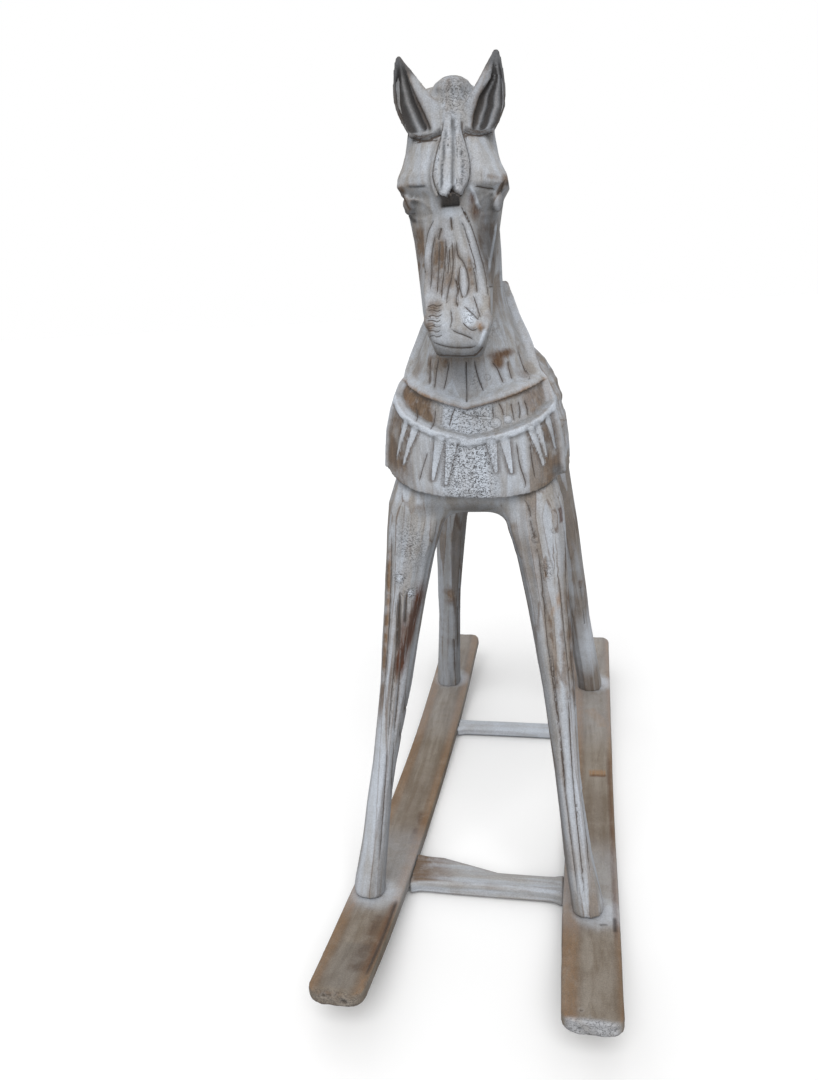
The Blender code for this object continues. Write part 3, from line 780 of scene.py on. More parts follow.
    def finish(self, most: int, material: Material) -> Object:
        """Stores the masks, thins the mesh and gives it its material.

        Args:
            most: The most triangles that it may have.
            material: The material.

        Returns:
            The finished piece.
        """
        self.write()
        kept = {mask.value: values for mask, values in self.masks.items()}
        for name, values in {**kept, "line_off": self.line_off, "line_near": self.line_near}.items():
            self.store(name, values)
        triangles = sum(len(p.vertices) - 2 for p in self.piece.data.polygons)
        thin = self.piece.modifiers.new("thin", "DECIMATE")
        thin.ratio = min(1.0, most / triangles)
        thin.use_collapse_triangulate = True
        if self.detail is not None:
            group = self.piece.vertex_groups.new(name="coarse")
            for step in range(1, self.COARSE_STEPS + 1):
                chosen = np.flatnonzero(np.ceil((1 - self.detail).clip(0.01, 1) * self.COARSE_STEPS) == step)
                group.add(chosen.tolist(), step / self.COARSE_STEPS, "REPLACE")
            thin.vertex_group = group.name
            thin.vertex_group_factor = self.DETAIL_COST
        self.piece.data = baked(self.piece)
        mesh = self.piece.data
        mesh.materials.clear()
        mesh.materials.append(material)
        mesh.polygons.foreach_set("use_smooth", [True] * len(mesh.polygons))
        mesh.update()
        return self.piece


class Effects:
    """Shader node groups that several materials share."""

    def __init__(self) -> None:
        """Builds each group once."""
        self.gouges = self.gouge_group()
        self.streaks = self.streak_group()
        self.crackle = self.crackle_group()

    def gouge_group(self) -> Tree:
        """The ridges between gouge marks, and a tone for each mark."""
        inputs = {"Vector": None, "Width": 0.02, "Length": 0.08, "Seed": 0.0, "Line": 0.05, "Show": 0.6}
        bench, given = new_tree("ShaderNodeTree", "gouge_marks", inputs, ("Ridge", "Shoulder", "Tone"))
        out = given.outputs
        edge, cells, place = gouge_nodes(bench, out["Vector"], out["Width"], out["Length"], out["Seed"])
        break_up = bench.noise(place, 2.3)
        reach = bench.times(out["Line"], bench.ramp(break_up, 0.32, 0.68, 0.25, 1.6))
        ridge = bench.ramp(edge, bench.times(reach, 0.3), reach, 1.0, 0.0)
        ridge = bench.times(ridge, bench.ramp(bench.noise(place, 0.9, 1.0), 0.40, 0.60))
        ridge = bench.times(ridge, out["Show"])
        shoulder = bench.ramp(edge, 0.0, bench.times(reach, 3.2), 1.0, 0.0)
        shoulder = bench.times(shoulder, out["Show"])
        tone = bench.node("ShaderNodeSeparateColor", {0: cells.outputs["Color"]}).outputs[0]
        shown = bench.times(out["Show"], 3.0, clamp=True)
        tone = bench.plus(0.5, bench.times(bench.less(tone, 0.5), shown))
        bench.node("NodeGroupOutput", {"Ridge": ridge, "Shoulder": shoulder, "Tone": tone})
        return bench.tree

    def streak_group(self) -> Tree:
        """Fine lines of grain along the third number of the vector."""
        inputs = {"Vector": None, "Width": 0.002, "Length": 0.05}
        bench, given = new_tree("ShaderNodeTree", "grain_streaks", inputs, ("Fine", "Broad"))
        out = given.outputs
        size = bench.join(out["Width"], out["Width"], out["Length"])
        place = bench.vector("DIVIDE", out["Vector"], size)
        fine = bench.noise(place, 1.0, 3.0, 0.6)
        wide = bench.noise(bench.vector("MULTIPLY", place, (0.22, 0.22, 0.4)), 1.0, 2.0, 0.5)
        bench.node("NodeGroupOutput", {"Fine": fine, "Broad": wide})
        return bench.tree

    def crackle_group(self) -> Tree:
        """Short broken cracks and pits in thick paint."""
        inputs = {"Vector": None, "Size": 0.004}
        bench, given = new_tree("ShaderNodeTree", "paint_crackle", inputs, ("Cracks", "Pits"))
        out = given.outputs
        flat = bench.times(out["Size"], 0.62)
        size = bench.join(out["Size"], out["Size"], flat)
        place = bench.vector("DIVIDE", out["Vector"], size)
        swirl = bench.noise(place, 1.0, 2.0, 0.55)
        off = bench.math("ABSOLUTE", bench.less(swirl, 0.5))
        broken = bench.ramp(bench.noise(place, 1.4, 1.0), 0.34, 0.46)
        cracks = bench.times(bench.ramp(off, 0.014, 0.056, 1.0, 0.0), broken)
        spots = bench.cells(place, 1.7, "F1").outputs["Distance"]
        rare = bench.ramp(bench.noise(place, 0.8, 1.0), 0.52, 0.62)
        pits = bench.times(bench.ramp(spots, 0.16, 0.40, 1.0, 0.0), rare)
        bench.node("NodeGroupOutput", {"Cracks": cracks, "Pits": pits})
        return bench.tree


@dataclass(frozen=True)
class Marks:
    """What gouge and grain give a material: ridges, their shoulders, a tone for each mark, and streaks."""

    ridge: Socket
    shoulder: Socket
    tone: Socket
    fine: Socket
    broad: Socket


@dataclass(frozen=True)
class Whitewash:
    """Thin white paint over gouged wood, worn to brown on the ridges."""

    name: str
    patches: tuple[Gouging, ...]
    paint: Color = (0.440, 0.470, 0.515)
    thin_paint: Color = (0.330, 0.318, 0.305)
    pale: Color = (0.620, 0.675, 0.755)
    wood: Color = (0.205, 0.145, 0.098)
    line: Color = (0.115, 0.080, 0.058)
    grime_and_shade: Color = (0.040, 0.035, 0.033)
    soot: Color = (0.075, 0.077, 0.082)
    ochre: Color = (0.300, 0.170, 0.080)
    stain: Color = (0.078, 0.030, 0.015)
    thin_broad: Ramp = (0.35, 0.70, 0.0, 0.75)
    thin_cloud: Ramp = (0.42, 0.68, 0.0, 0.55)
    thin_tone: float = 0.8
    wood_streaks: Pair = (0.3, 0.7)
    bare_patches: Ramp = (0.25, 0.62, 0.25, 1.25)
    ridge_patches: Ramp = (0.35, 0.65, 0.15, 0.8)
    rub_cloud: Ramp = (0.40, 0.66, 0.05, 0.85)
    facet_tone: Ramp = (0.58, 0.90, 0.0, 0.55)
    facet_cloud: Ramp = (0.30, 0.55, 0.4, 1.0)
    bare_streaks: Ramp = (0.56, 0.72, 0.0, 0.5)
    ochre_streaks: Ramp = (0.25, 0.65, 0.25, 0.85)
    pale_patches: Ramp = (0.30, 0.60, 0.60, 0.95)
    stain_streaks: Ramp = (0.25, 0.6, 0.45, 1.1)
    ink_edge: Ramp = (0.5, 1.2, 1.0, 0.0)
    ink_patches: Ramp = (0.3, 0.6, 0.55, 0.92)
    dust: Ramp = (0.3, 0.7, 0.86, 1.12)
    hollow_shade: float = 0.8
    crack_dirt: float = 0.92
    dark_lines_and_shade: float = 0.9
    hard_line: float = 0.85
    heights: tuple[float, ...] = (0.35, 0.25, -0.8, -0.3, -1.2)
    ridge_width: float = 0.05
    cloud_size: float = 17.0
    patch_size: float = 48.0
    speckle_size: float = 700.0
    wander_size: float = 320.0
    wander: float = 1.4
    roughness: float = 0.62
    shine: float = 0.28
    bump: float = 0.55
    bump_depth: float = 0.0007

    def marks(self, bench: Bench, effects: Effects) -> Marks:
        """Blends the marks and the grain of all patches, each inside its zone."""
        grains = {way: bench.read(way.value, "Vector") for way in Way}
        blended: list[Socket] = []
        for patch in self.patches:
            zone = bench.read(patch.zone)
            inputs = {"Vector": grains[patch.way], "Line": self.ridge_width * patch.line, "Show": patch.show}
            marks = bench.use(effects.gouges, inputs | patch.pattern())
            grain = bench.use(effects.streaks, {"Vector": grains[patch.way]})
            found = [marks["Ridge"], marks["Shoulder"], marks["Tone"], grain["Fine"], grain["Broad"]]
            if blended:
                blended = [bench.blend(zone, a, b) for a, b in zip(blended, found)]
            else:
                blended = [*(bench.times(value, zone) for value in found[:2]), *found[2:]]
        return Marks(*blended)

    def bare(
        self, bench: Bench, marks: Marks, masks: dict[Mask, Socket], clouds: tuple[Socket, Socket], thin: Socket
    ) -> Socket:
        """Where the wood shows.

        Args:
            bench: The tree's bench.
            marks: The gouge marks and the grain.
            masks: What the piece carries.
            clouds: A broad and a finer cloudy pattern.
            thin: Where the paint is thin.

        Returns:
            The share of bare wood.
        """
        cloud, patchy = clouds
        bare = bench.times(masks[BARE], bench.ramp(patchy, *self.bare_patches))
        worn = bench.times(masks[RIDGE], bench.ramp(patchy, *self.ridge_patches))
        rub = bench.times(marks.shoulder, bench.ramp(cloud, *self.rub_cloud))
        facet = bench.times(bench.ramp(marks.tone, *self.facet_tone), bench.ramp(cloud, *self.facet_cloud))
        streak = bench.times(bench.ramp(marks.fine, *self.bare_streaks), thin)
        for more in (worn, rub, facet, streak):
            bare = bench.most(bare, more)
        return bench.times(bare, bench.less(1.0, masks[PALE]), clamp=True)

    def material(self, effects: Effects) -> Material:
        """Builds the material.

        Args:
            effects: The shared groups.

        Returns:
            The material.
        """
        made = bpy.data.materials.new(self.name)
        made.use_nodes = True
        made.node_tree.nodes.clear()
        bench = Bench(made.node_tree)
        place = bench.node("ShaderNodeTexCoord").outputs["Object"]
        masks = {mask: bench.read(mask.value) for mask in Mask}
        marks = self.marks(bench, effects)
        cloud = bench.noise(place, self.cloud_size, 4.0, 0.6)
        patchy = bench.noise(place, self.patch_size, 3.0, 0.6)
        speckle = bench.noise(place, self.speckle_size, 2.0, 0.6)
        wander = bench.noise(place, self.wander_size)
        cracks = bench.times(bench.most(*bench.use(effects.crackle, {"Vector": place})), masks[CRACKLE])
        off = bench.plus(bench.read("line_off"), bench.times(bench.less(wander, 0.5), self.wander))
        near = bench.read("line_near")
        inked = bench.times(bench.ramp(bench.math("ABSOLUTE", off), *self.ink_edge), near)

        thin = bench.plus(bench.ramp(marks.broad, *self.thin_broad), bench.ramp(cloud, *self.thin_cloud))
        thin = bench.plus(thin, bench.times(bench.less(marks.tone, 0.5), self.thin_tone), clamp=True)
        paint = bench.color(thin, self.paint, self.thin_paint)
        wood = bench.color(bench.ramp(marks.fine, *self.wood_streaks), self.wood, self.line)
        color = bench.color(self.bare(bench, marks, masks, (cloud, patchy), thin), paint, wood)
        stained = bench.times(masks[STAIN], bench.ramp(marks.fine, *self.stain_streaks), clamp=True)
        layers = (
            # Painted shade: hollows and grooves are darkened towards a grey-brown.
            (bench.times(masks[HOLLOW], self.hollow_shade), bench.color(0.5, self.grime_and_shade, self.thin_paint)),
            (bench.times(masks[OCHRE], bench.ramp(marks.fine, *self.ochre_streaks)), self.ochre),
            (bench.times(masks[PALE], bench.ramp(patchy, *self.pale_patches)), self.pale),
            # Painted shade, and some dark grey patches.
            (masks[SOOT_AND_SHADE], self.soot),
            (bench.times(marks.ridge, bench.less(self.hard_line, masks[PALE], clamp=True)), self.line),
            (bench.times(cracks, self.crack_dirt), self.grime_and_shade),
            (stained, self.stain),
            # The dark mask is painted shade under the forelock's tip, in the ears and along the chin, and dark carved
            # lines elsewhere.
            (bench.times(masks[DARK], self.dark_lines_and_shade), self.grime_and_shade),
            (bench.times(inked, bench.ramp(patchy, *self.ink_patches)), bench.color(0.5, self.grime_and_shade, self.line)),
        )
        for share, layer in layers:
            color = bench.color(share, color, layer)
        dust = bench.ramp(speckle, *self.dust)
        color = bench.color(1.0, color, bench.join(dust, dust, dust), "MULTIPLY")

        height: Value = 0.0
        for value, share in zip((marks.fine, speckle, cracks, marks.ridge, inked), self.heights):
            height = bench.plus(height, bench.times(value, share))
        bump = bench.node("ShaderNodeBump", {"Strength": self.bump, "Distance": self.bump_depth, "Height": height})
        shader = bench.node("ShaderNodeBsdfPrincipled", {
            "Base Color": color,
            "Roughness": bench.plus(self.roughness, bench.times(patchy, 0.25)),
            "Normal": bump.outputs[0],
            "Specular IOR Level": self.shine,
        })
        bench.node("ShaderNodeOutputMaterial", {"Surface": shader.outputs[0]})
        return made


@dataclass(frozen=True)
class Axis:
    """The middle line of a leg, by height."""

    xs: tuple[float, ...]
    ys: tuple[float, ...]
    heights: tuple[float, ...] = (0.0, 0.1, 0.2, 0.3, 0.4, 0.5)

    def drift(self, z: Array) -> tuple[Array, Array]:
        """How far the line has moved from its top, in X away from the middle and in Y."""
        x = np.interp(z, self.heights, self.xs) - self.xs[-1]
        y = np.interp(z, self.heights, self.ys) - self.ys[-1]
        return x, y


@dataclass
class Legs:
    """Four splayed legs hewn in long facets."""

    front: Axis = Axis((0.130, 0.1185, 0.1065, 0.097, 0.085, 0.070), (-0.297, -0.2775, -0.260, -0.241, -0.217, -0.190))
    rear: Axis = Axis((0.132, 0.1245, 0.1125, 0.1008, 0.087, 0.069), (0.327, 0.2842, 0.2434, 0.2027, 0.163, 0.134))

    def grain(self, points: Array) -> Array:
        """Places measured from the legs' slanting lines, with the height as the third number."""
        x, y, z = points.T
        front_x, front_y = self.front.drift(z)
        rear_x, rear_y = self.rear.drift(z)
        ahead = y < 0
        side = np.sign(x)
        across = x - side * np.where(ahead, front_x, rear_x)
        deep = y - np.where(ahead, front_y, rear_y)
        return np.stack([across, deep, z], 1)


THIN = 2.1
THIN_HALF = 1.4
THIN_AMOUNT = 0.35
THIN_LINE = 0.42
PATCH_EDGE = 0.6
SEEN_FROM_FRONT = (1.0, 0.15, 1.0)
SEEN_FROM_SIDE = (0.15, 1.0, 1.0)


def on_face(surface: Surface, path: Seen) -> list[Vector]:
    """The places that x, z, x, z and so on, in millimetres, have on the front of the horse."""
    fine = spline([(x, 0.0, z) for x, z in zip(path[::2], path[1::2])], 6)
    found = [surface.front(p.x * MM, p.z * MM) for p in fine]
    return [hit[0] for hit in found if hit]


def on_flank(surface: Surface, side: int, path: Seen) -> list[Vector]:
    """The places that y, z, y, z and so on, in millimetres, have on one side of the horse."""
    fine = spline([(0.0, y, z) for y, z in zip(path[::2], path[1::2])], 6)
    found = [surface.flank(side, p.y * MM, p.z * MM) for p in fine]
    return [hit[0] for hit in found if hit]


@dataclass(frozen=True)
class Patch:
    """A soft spot in millimetres: its place, its reach sideways and up, how strong it is and its reach inwards."""

    x: float
    y: float
    z: float
    wide: float
    tall: float
    amount: float
    deep: float = 30.0

    def lay(self, mask: Mask, sculpt: Sculpt) -> None:
        """Marks the spot with a mask."""
        centre = np.array((self.x, self.y, self.z)) * MM
        size = np.array((self.wide, self.deep, self.tall)) * MM
        sculpt.mark(mask, self.amount * spot(sculpt.points, centre, size) ** PATCH_EDGE)


@dataclass(frozen=True)
class Cut:
    """A groove along x, z, x, z and so on of the front, in millimetres; a ridge where its depth is below 0."""

    path: Seen
    half: float
    depth: float
    mask: Mask | None = DARK
    amount: float = 0.6
    taper: float = 0.15

    def lay(self, sculpt: Sculpt, surface: Surface) -> None:
        """Cuts the groove."""
        path = on_face(surface, self.path)
        half, amount, line = self.half, self.amount, 0.0
        if self.mask is DARK and half < THIN:
            half, amount, line = half * THIN_HALF, amount * THIN_AMOUNT, half * THIN_LINE
        sculpt.groove(path, half * MM, self.depth * MM, self.mask, amount, self.taper, SEEN_FROM_FRONT, line * MM)


def lay_lines(lines: Sequence[Seen], look: Look, sculpt: Sculpt, surface: Surface) -> None:
    """Cuts each line in all the ways of its look.

    Args:
        lines: The lines.
        look: Half the width, the depth, the mask and its amount, for each way.
        sculpt: The skin to cut.
        surface: The solid that the lines are seen on.
    """
    for line in lines:
        for way in look:
            Cut(line, *way).lay(sculpt, surface)


@dataclass(frozen=True)
class Ear:
    """The hollow of one ear, between its two edges."""

    inner: Seen
    outer: Seen
    ribs: tuple[Point, ...]
    depth: float = 0.0058
    rib_height: float = 0.0042

    def carve(self, sculpt: Sculpt) -> None:
        """Hollows the ear and leaves ribs along it, each with its place, half width and strength."""
        x, y, z = sculpt.points.T / MM
        inner_x, outer_x = (np.interp(z, path[1::2], path[::2]) for path in (self.inner, self.outer))
        width = np.where(np.abs(outer_x - inner_x) < 3, 3 * np.sign(outer_x), outer_x - inner_x)
        u = (x - inner_x) / width
        low, high = self.inner[1], self.inner[-1]
        front = ease(0.15, -0.25, sculpt.normals[:, 1]) * ease(-195, -222, y)
        along = ease(low - 2, low + 5, z) * ease(high, high - 20, z)
        whole = ease(-0.08, 0.06, u) * ease(1.45, 1.30, u) * ease(low - 3, low + 2, z) * front
        inside = ease(0.02, 0.14, u) * ease(0.97, 0.86, u) * along * front
        rib = sum(strength * np.exp(-(((u - at) / half) ** 2)) for at, half, strength in self.ribs)
        lower = ease(high - 16, high - 40, z)
        sculpt.push(inside * (self.rib_height * rib - self.depth))
        # The ear's hollow is painted dark as shade, less on the ribs, which are left paler; its tip is greyed too.
        sculpt.paint((SOOT_AND_SHADE, whole * (0.86 - 0.50 * rib)), (PALE, inside * rib * 0.30))
        brown = np.maximum(ease(0.36, 0.22, u), ease(0.78, 0.88, u)) * lower * whole * along
        sculpt.masks[SOOT_AND_SHADE] *= 1 - 0.75 * brown
        sculpt.paint(
            (DARK, inside * np.clip(1.05 - 1.6 * rib, 0, 1) * (1.0 - 0.25 * brown)),
            (DARK, 0.75 * whole * ease(0.84, 0.94, u) * lower),
            (BARE, brown),
            (SOOT_AND_SHADE, front * ease(high - 12, high - 2, z) * 0.75),
        )


@dataclass(frozen=True)
class Forelock:
    """The raised lock on the forehead, with three ribs."""

    heights: tuple[float, ...] = (836, 843, 850, 858, 865, 875, 885, 893, 900, 909)
    left: tuple[float, ...] = (-6, -11.5, -15, -17, -16.6, -14.7, -12, -9.7, -7.7, -6.7)
    right: tuple[float, ...] = (8, 10.5, 14.2, 16.6, 17, 15.7, 13, 11.2, 9.4, 9)
    foot_x: tuple[float, ...] = (-15, -11.5, -7.3, -4, -1, 3, 6, 8.5, 10.5, 14.2)
    foot_z: tuple[float, ...] = (849, 843, 839, 838, 841, 846.5, 841, 839.5, 843, 849)
    rise: float = 0.0036
    hollow: float = 0.0036
    rim_depth: float = 0.0012
    line_half: float = 0.0007
    grooves: tuple[Cut, ...] = (
        # The first two grooves and the right one are greyed as painted shade between the ribs.
        Cut((-3, 905, -5, 892, -6, 880, -7, 868, -8, 857, -9, 841), 2.6, 2.4, SOOT_AND_SHADE, 0.85),
        Cut((1.5, 916, 2.5, 905, 3.5, 888, 4, 878, 3.4, 867, 3.2, 856, 3, 843), 3.0, 2.6, SOOT_AND_SHADE, 0.7, 0.1),
        Cut((-5, 944, -5, 930, -5, 915, -6, 900), 4.6, -1.1, None, 0.0, 0.15),
        Cut((6, 944, 6.5, 930, 7.5, 915, 8, 900), 4.6, -1.3, None, 0.0, 0.15),
        Cut((0.5, 942, 1, 930, 1.5, 914), 1.6, 0.6, HOLLOW, 0.5, 0.1),
        Cut((10.5, 885, 11.7, 875, 12.4, 866, 12.2, 856, 11.3, 845), 1.8, 1.6, SOOT_AND_SHADE, 0.8),
        Cut((3.2, 858, 3, 852, 3, 844), 2.4, 0.8, BARE, 1.0, 0.05),
    )

    def carve(self, sculpt: Sculpt, surface: Surface) -> None:
        """Raises the lock and cuts its grooves."""
        x, y, z = sculpt.points.T / MM
        left, right = np.interp(z, self.heights, self.left), np.interp(z, self.heights, self.right)
        foot = np.interp(x, self.foot_x, self.foot_z)
        front = ease(-225, -240, y) * ease(0.4, 0.0, sculpt.normals[:, 1])
        out = np.minimum(np.minimum(x - left, right - x), z - foot)
        lock = front * ease(-0.3, 1.6, out) * ease(916, 895, z)
        # The hollow under the lock's tip gets bare wood and a painted shadow.
        under = front * ease(10.3, 8.3, np.abs(x + 3)) * ease(829.5, 831, z) * ease(0.5, -0.8, z - foot)
        rim = front * ease(1.8, 0.2, np.abs(out + 1.0)) * ease(914, 900, z)
        sculpt.push(self.rise * lock - self.hollow * under - self.rim_depth * rim * (lock < 0.5))
        found = np.flatnonzero((front > 0.5) & (np.abs(out + 1.0) < Sculpt.LINE_REACH / MM) & (z < 908))
        sculpt.ink(found, (out[found] + 1.0) * MM, self.line_half, 0.9)
        sculpt.paint(
            (DARK, rim * 0.45),
            (BARE, under),
            (DARK, under * ease(834, 830.5, z) * 0.9),
            (SOOT_AND_SHADE, under * 0.55),
            (CRACKLE, lock * ease(0.0, 5.0, right - x) * ease(7.0, 4.5, right - x) * 0.6),
            (CRACKLE, lock * ease(5.0, 2.0, x - left) * 0.4),
            (PALE, lock * 0.35),
        )
        for groove in self.grooves:
            groove.lay(sculpt, surface)


BROW_CUTS = (
    Cut((-41, 899, -33, 896, -24, 895, -16, 897, -9, 898.5), 1.9, 2.0, DARK, 0.85, 0.03),
    Cut((-40, 894.5, -32, 894, -20, 893.5, -12, 892.5), 1.3, 0.9),
    Cut((12, 899, 18, 896, 26, 895, 35, 895.5, 39, 896.5), 1.9, 2.0, DARK, 0.85, 0.03),
    Cut((11, 896, 17, 894), 1.2, 0.8),
    # The next two lips under the ears are greyed as painted shade.
    Cut((-43, 902, -33, 898.5, -23, 898, -14, 900, -9, 902.5), 4.6, -0.8, SOOT_AND_SHADE, 0.72, 0.03),
    Cut((12, 902, 20, 899, 28, 898, 40, 900), 4.4, -0.7, SOOT_AND_SHADE, 0.68, 0.03),
    Cut((-40, 902, -30, 899, -18, 900), 1.2, 0.5, DARK, 0.5),
    Cut((16, 901, 26, 899, 36, 900), 1.2, 0.5, DARK, 0.5),
    # This groove under the left brow is greyed as painted shade.
    Cut((-47, 853, -36, 851.5, -25, 851), 1.6, 1.0, SOOT_AND_SHADE, 0.7),
    Cut((22, 847, 32, 845, 41, 844), 1.5, 1.2),
    Cut((50, 851, 46, 845, 41, 838, 35, 831), 3.0, 1.2, BARE, 1.0),
    Cut((51, 853, 47, 846, 42, 839), 1.6, 0.4, DARK, 0.7),
    Cut((33, 856, 39, 855, 46, 853), 3.5, 0.0, BARE, 0.7),
    Cut((17, 849, 20, 843, 22, 836, 25, 826), 2.4, -1.4, PALE, 0.8),
    Cut((8, 831, 11, 822, 15, 813), 1.0, 1.0),
    Cut((-56, 850, -52, 842, -48, 834, -45, 830), 3.6, 0.6, BARE, 0.8),
    Cut((-55, 847, -51, 840, -47, 832), 2.0, 0.8),
    Cut((-56, 840, -53, 830, -47, 823, -40, 822), 3.4, 0.6, DARK, 0.75),
    Cut((55, 840, 53, 829, 47, 822, 41, 822), 3.4, 0.6, DARK, 0.8),
)
NOSE_CUTS = (
    Cut((-16, 824, -23, 809, -27.5, 794, -28.5, 780, -27, 768), 6.5, -2.4, PALE, 0.25, 0.2),
    Cut((7, 825, 12, 809, 16.5, 793, 21, 775, 25, 757, 29, 741), 5.2, -2.6, PALE, 0.42, 0.1),
    Cut((1.5, 823, 3.5, 806, 7, 793, 12, 780), 4.6, -1.2, PALE, 0.30),
    Cut((6, 774, 8.5, 762, 8.5, 750, 8, 743), 4.4, -1.4, PALE, 0.38),
    Cut((-3, 822, -2.7, 815, -2, 807), 1.8, 1.8, BARE, 1.0),
    Cut((-3, 821, -2.7, 815, -2.3, 809), 0.9, 0.4, DARK, 0.8),
    Cut((8, 815, 10, 811, 12, 806), 1.2, 1.0, DARK, 1.0),
    Cut((12.6, 802, 14.3, 798, 16, 794.5), 1.2, 1.0, DARK, 1.0),
    Cut((10.5, 826, 17, 812, 22.5, 795, 27, 778, 31, 762, 33, 743), 1.4, 1.6, DARK, 0.75, 0.03),
    Cut((-21, 820, -29, 808, -33, 792, -34, 778, -32, 768), 1.6, 1.4, DARK, 0.6, 0.05),
    Cut((15, 779, 17, 764, 18, 752), 4.2, 1.4, BARE, 1.0),
    Cut((-12, 802, -13, 785, -14, 769), 3.6, 1.0, BARE, 1.0),
    Cut((-20, 792, -21, 775, -22, 757), 3.2, 0.8, BARE, 0.7),
    Cut((-36, 818, -38, 803, -36, 788, -34, 772), 5.5, 0.5, BARE, 1.0),
    Cut((24, 810, 25.5, 798, 28, 786), 3.6, 0.4, BARE, 1.0),
    Cut((31, 790, 31.3, 780, 31.5, 768), 4.6, 0.0, BARE, 0.8),
    Cut((39, 818, 35.5, 798, 33, 782, 32.5, 764), 1.5, -0.8, PALE, 1.0),
    Cut((31.5, 752, 34, 752, 35, 752), 1.0, 0.6, DARK, 0.9),
)
NOSE_LOOK: Look = ((4.2, 0.7, BARE, 0.5), (1.3, 0.9, DARK, 0.6))
MUZZLE_LOOK: Look = ((1.2, 1.2, DARK, 0.7),)
CHEST_LOOK: Look = ((4.0, 0.6, BARE, 0.45), (1.2, 0.7, DARK, 0.4))
WRINKLE_LOOK: Look = ((1.0, 0.8, DARK, 0.5),)
NOSE_LINES = (
    (-8.5, 802, -10, 784, -12, 766, -14, 752, -13.5, 742),
    (-2.6, 799, -2, 780, -4, 763, -7.5, 751, -9, 737),
    (1.5, 799, 2.6, 785, 8, 777, 12, 767, 13.6, 755, 10.8, 744, 8.5, 741),
    (5.4, 775, 3.2, 762, 4.6, 751, 8, 741),
    (-0.5, 763, 2, 751, 1, 741, 3.3, 733),
    (-15, 800, -16.5, 781, -18, 762, -19, 747),
    (-19.5, 806, -23.5, 790, -24.5, 770, -26, 752),
    (10, 812, 14, 796, 19, 780, 22, 764),
    (-13, 812, -17, 800),
    (18, 772, 20.5, 758, 22, 746),
    (-5.4, 792, -6.2, 780, -8, 765),
)
MUZZLE_LINES = (
    (9, 735, 16, 729, 25, 720),
    (18, 745, 22, 734, 26, 722),
    (7.5, 720, 13.6, 714, 18.5, 711, 23.5, 713),
    (-3.5, 714, 1.5, 710, 9, 707, 19, 702),
    (-24, 704, -21, 700, -4, 695, 15, 694, 22, 697),
    (-4, 732, -3, 722, -4.5, 714),
)
CHEST_LINES = (
    (-43, 678, -44, 669, -44, 650),
    (-20, 676, -23, 661, -27, 644),
    (27, 673, 33, 664, 39, 649),
    (43, 673, 45, 662, 48, 652),
    (53, 683, 58, 668, 62, 656),
    (-13, 627, -18, 616, -21, 605),
    (28, 627, 28, 620, 29, 614),
    (34, 630, 38, 622, 39, 615),
    (47, 630, 49, 618, 51, 608),
    (55, 630, 57, 619, 56, 610),
    (61, 630, 64.5, 620, 65, 612),
    (-46, 579, -53, 561, -59, 544),
    (53, 587, 56, 562, 61.5, 540, 59, 532),
    (67, 584, 69, 564, 72, 543),
    (62, 660, 66, 650),
    (-33, 680, -36, 664, -38, 646),
    (-60, 626, -58, 612),
    (-36, 625, -38, 612, -42, 603),
)
CHEST_CUTS = (
    Cut((-1, 676, -1, 655, 0, 632), 1.3, 1.6, DARK, 0.95, 0.05),
    Cut((8, 676, 11, 662, 14, 652, 18, 642), 1.3, 1.4, DARK, 0.95, 0.1),
    Cut((-7, 621, 5.5, 617, 23, 616), 1.0, 0.7),
    Cut((-57, 644, -47, 640, -40, 639), 3.4, -0.8, OCHRE, 0.9),
    Cut((22, 628, 42, 634, 57, 639, 71, 647), 2.6, 0.0, OCHRE, 0.7),
)
LEG_LINES = (
    (73, 473, 79, 418, 83.5, 360, 90, 307, 96, 250),
    (103, 489, 106, 413, 109, 368, 113.5, 302, 119, 230),
    (65, 498, 70.7, 475),
    (58.5, 520, 65, 507.6, 65.5, 498),
    (-93.5, 406, -93, 356, -100, 301, -108, 230),
    (-97, 488, -100, 422, -105, 354, -113, 280),
    (-87, 356, -92, 301, -100, 240),
    (96, 440, 101, 390, 106, 340, 111, 280),
    (96, 250, 103, 180, 111, 110, 117, 60),
    (119, 230, 125, 150, 132, 80),
    (107, 300, 112, 200, 119, 120, 125, 60),
    (89, 350, 94, 290, 99, 240, 104, 180),
    (-100, 240, -108, 160, -114, 90, -118, 50),
    (-108, 230, -116, 150, -123, 80),
    (-92, 260, -100, 180, -106, 110),
    (-84, 300, -90, 250, -95, 205),
)
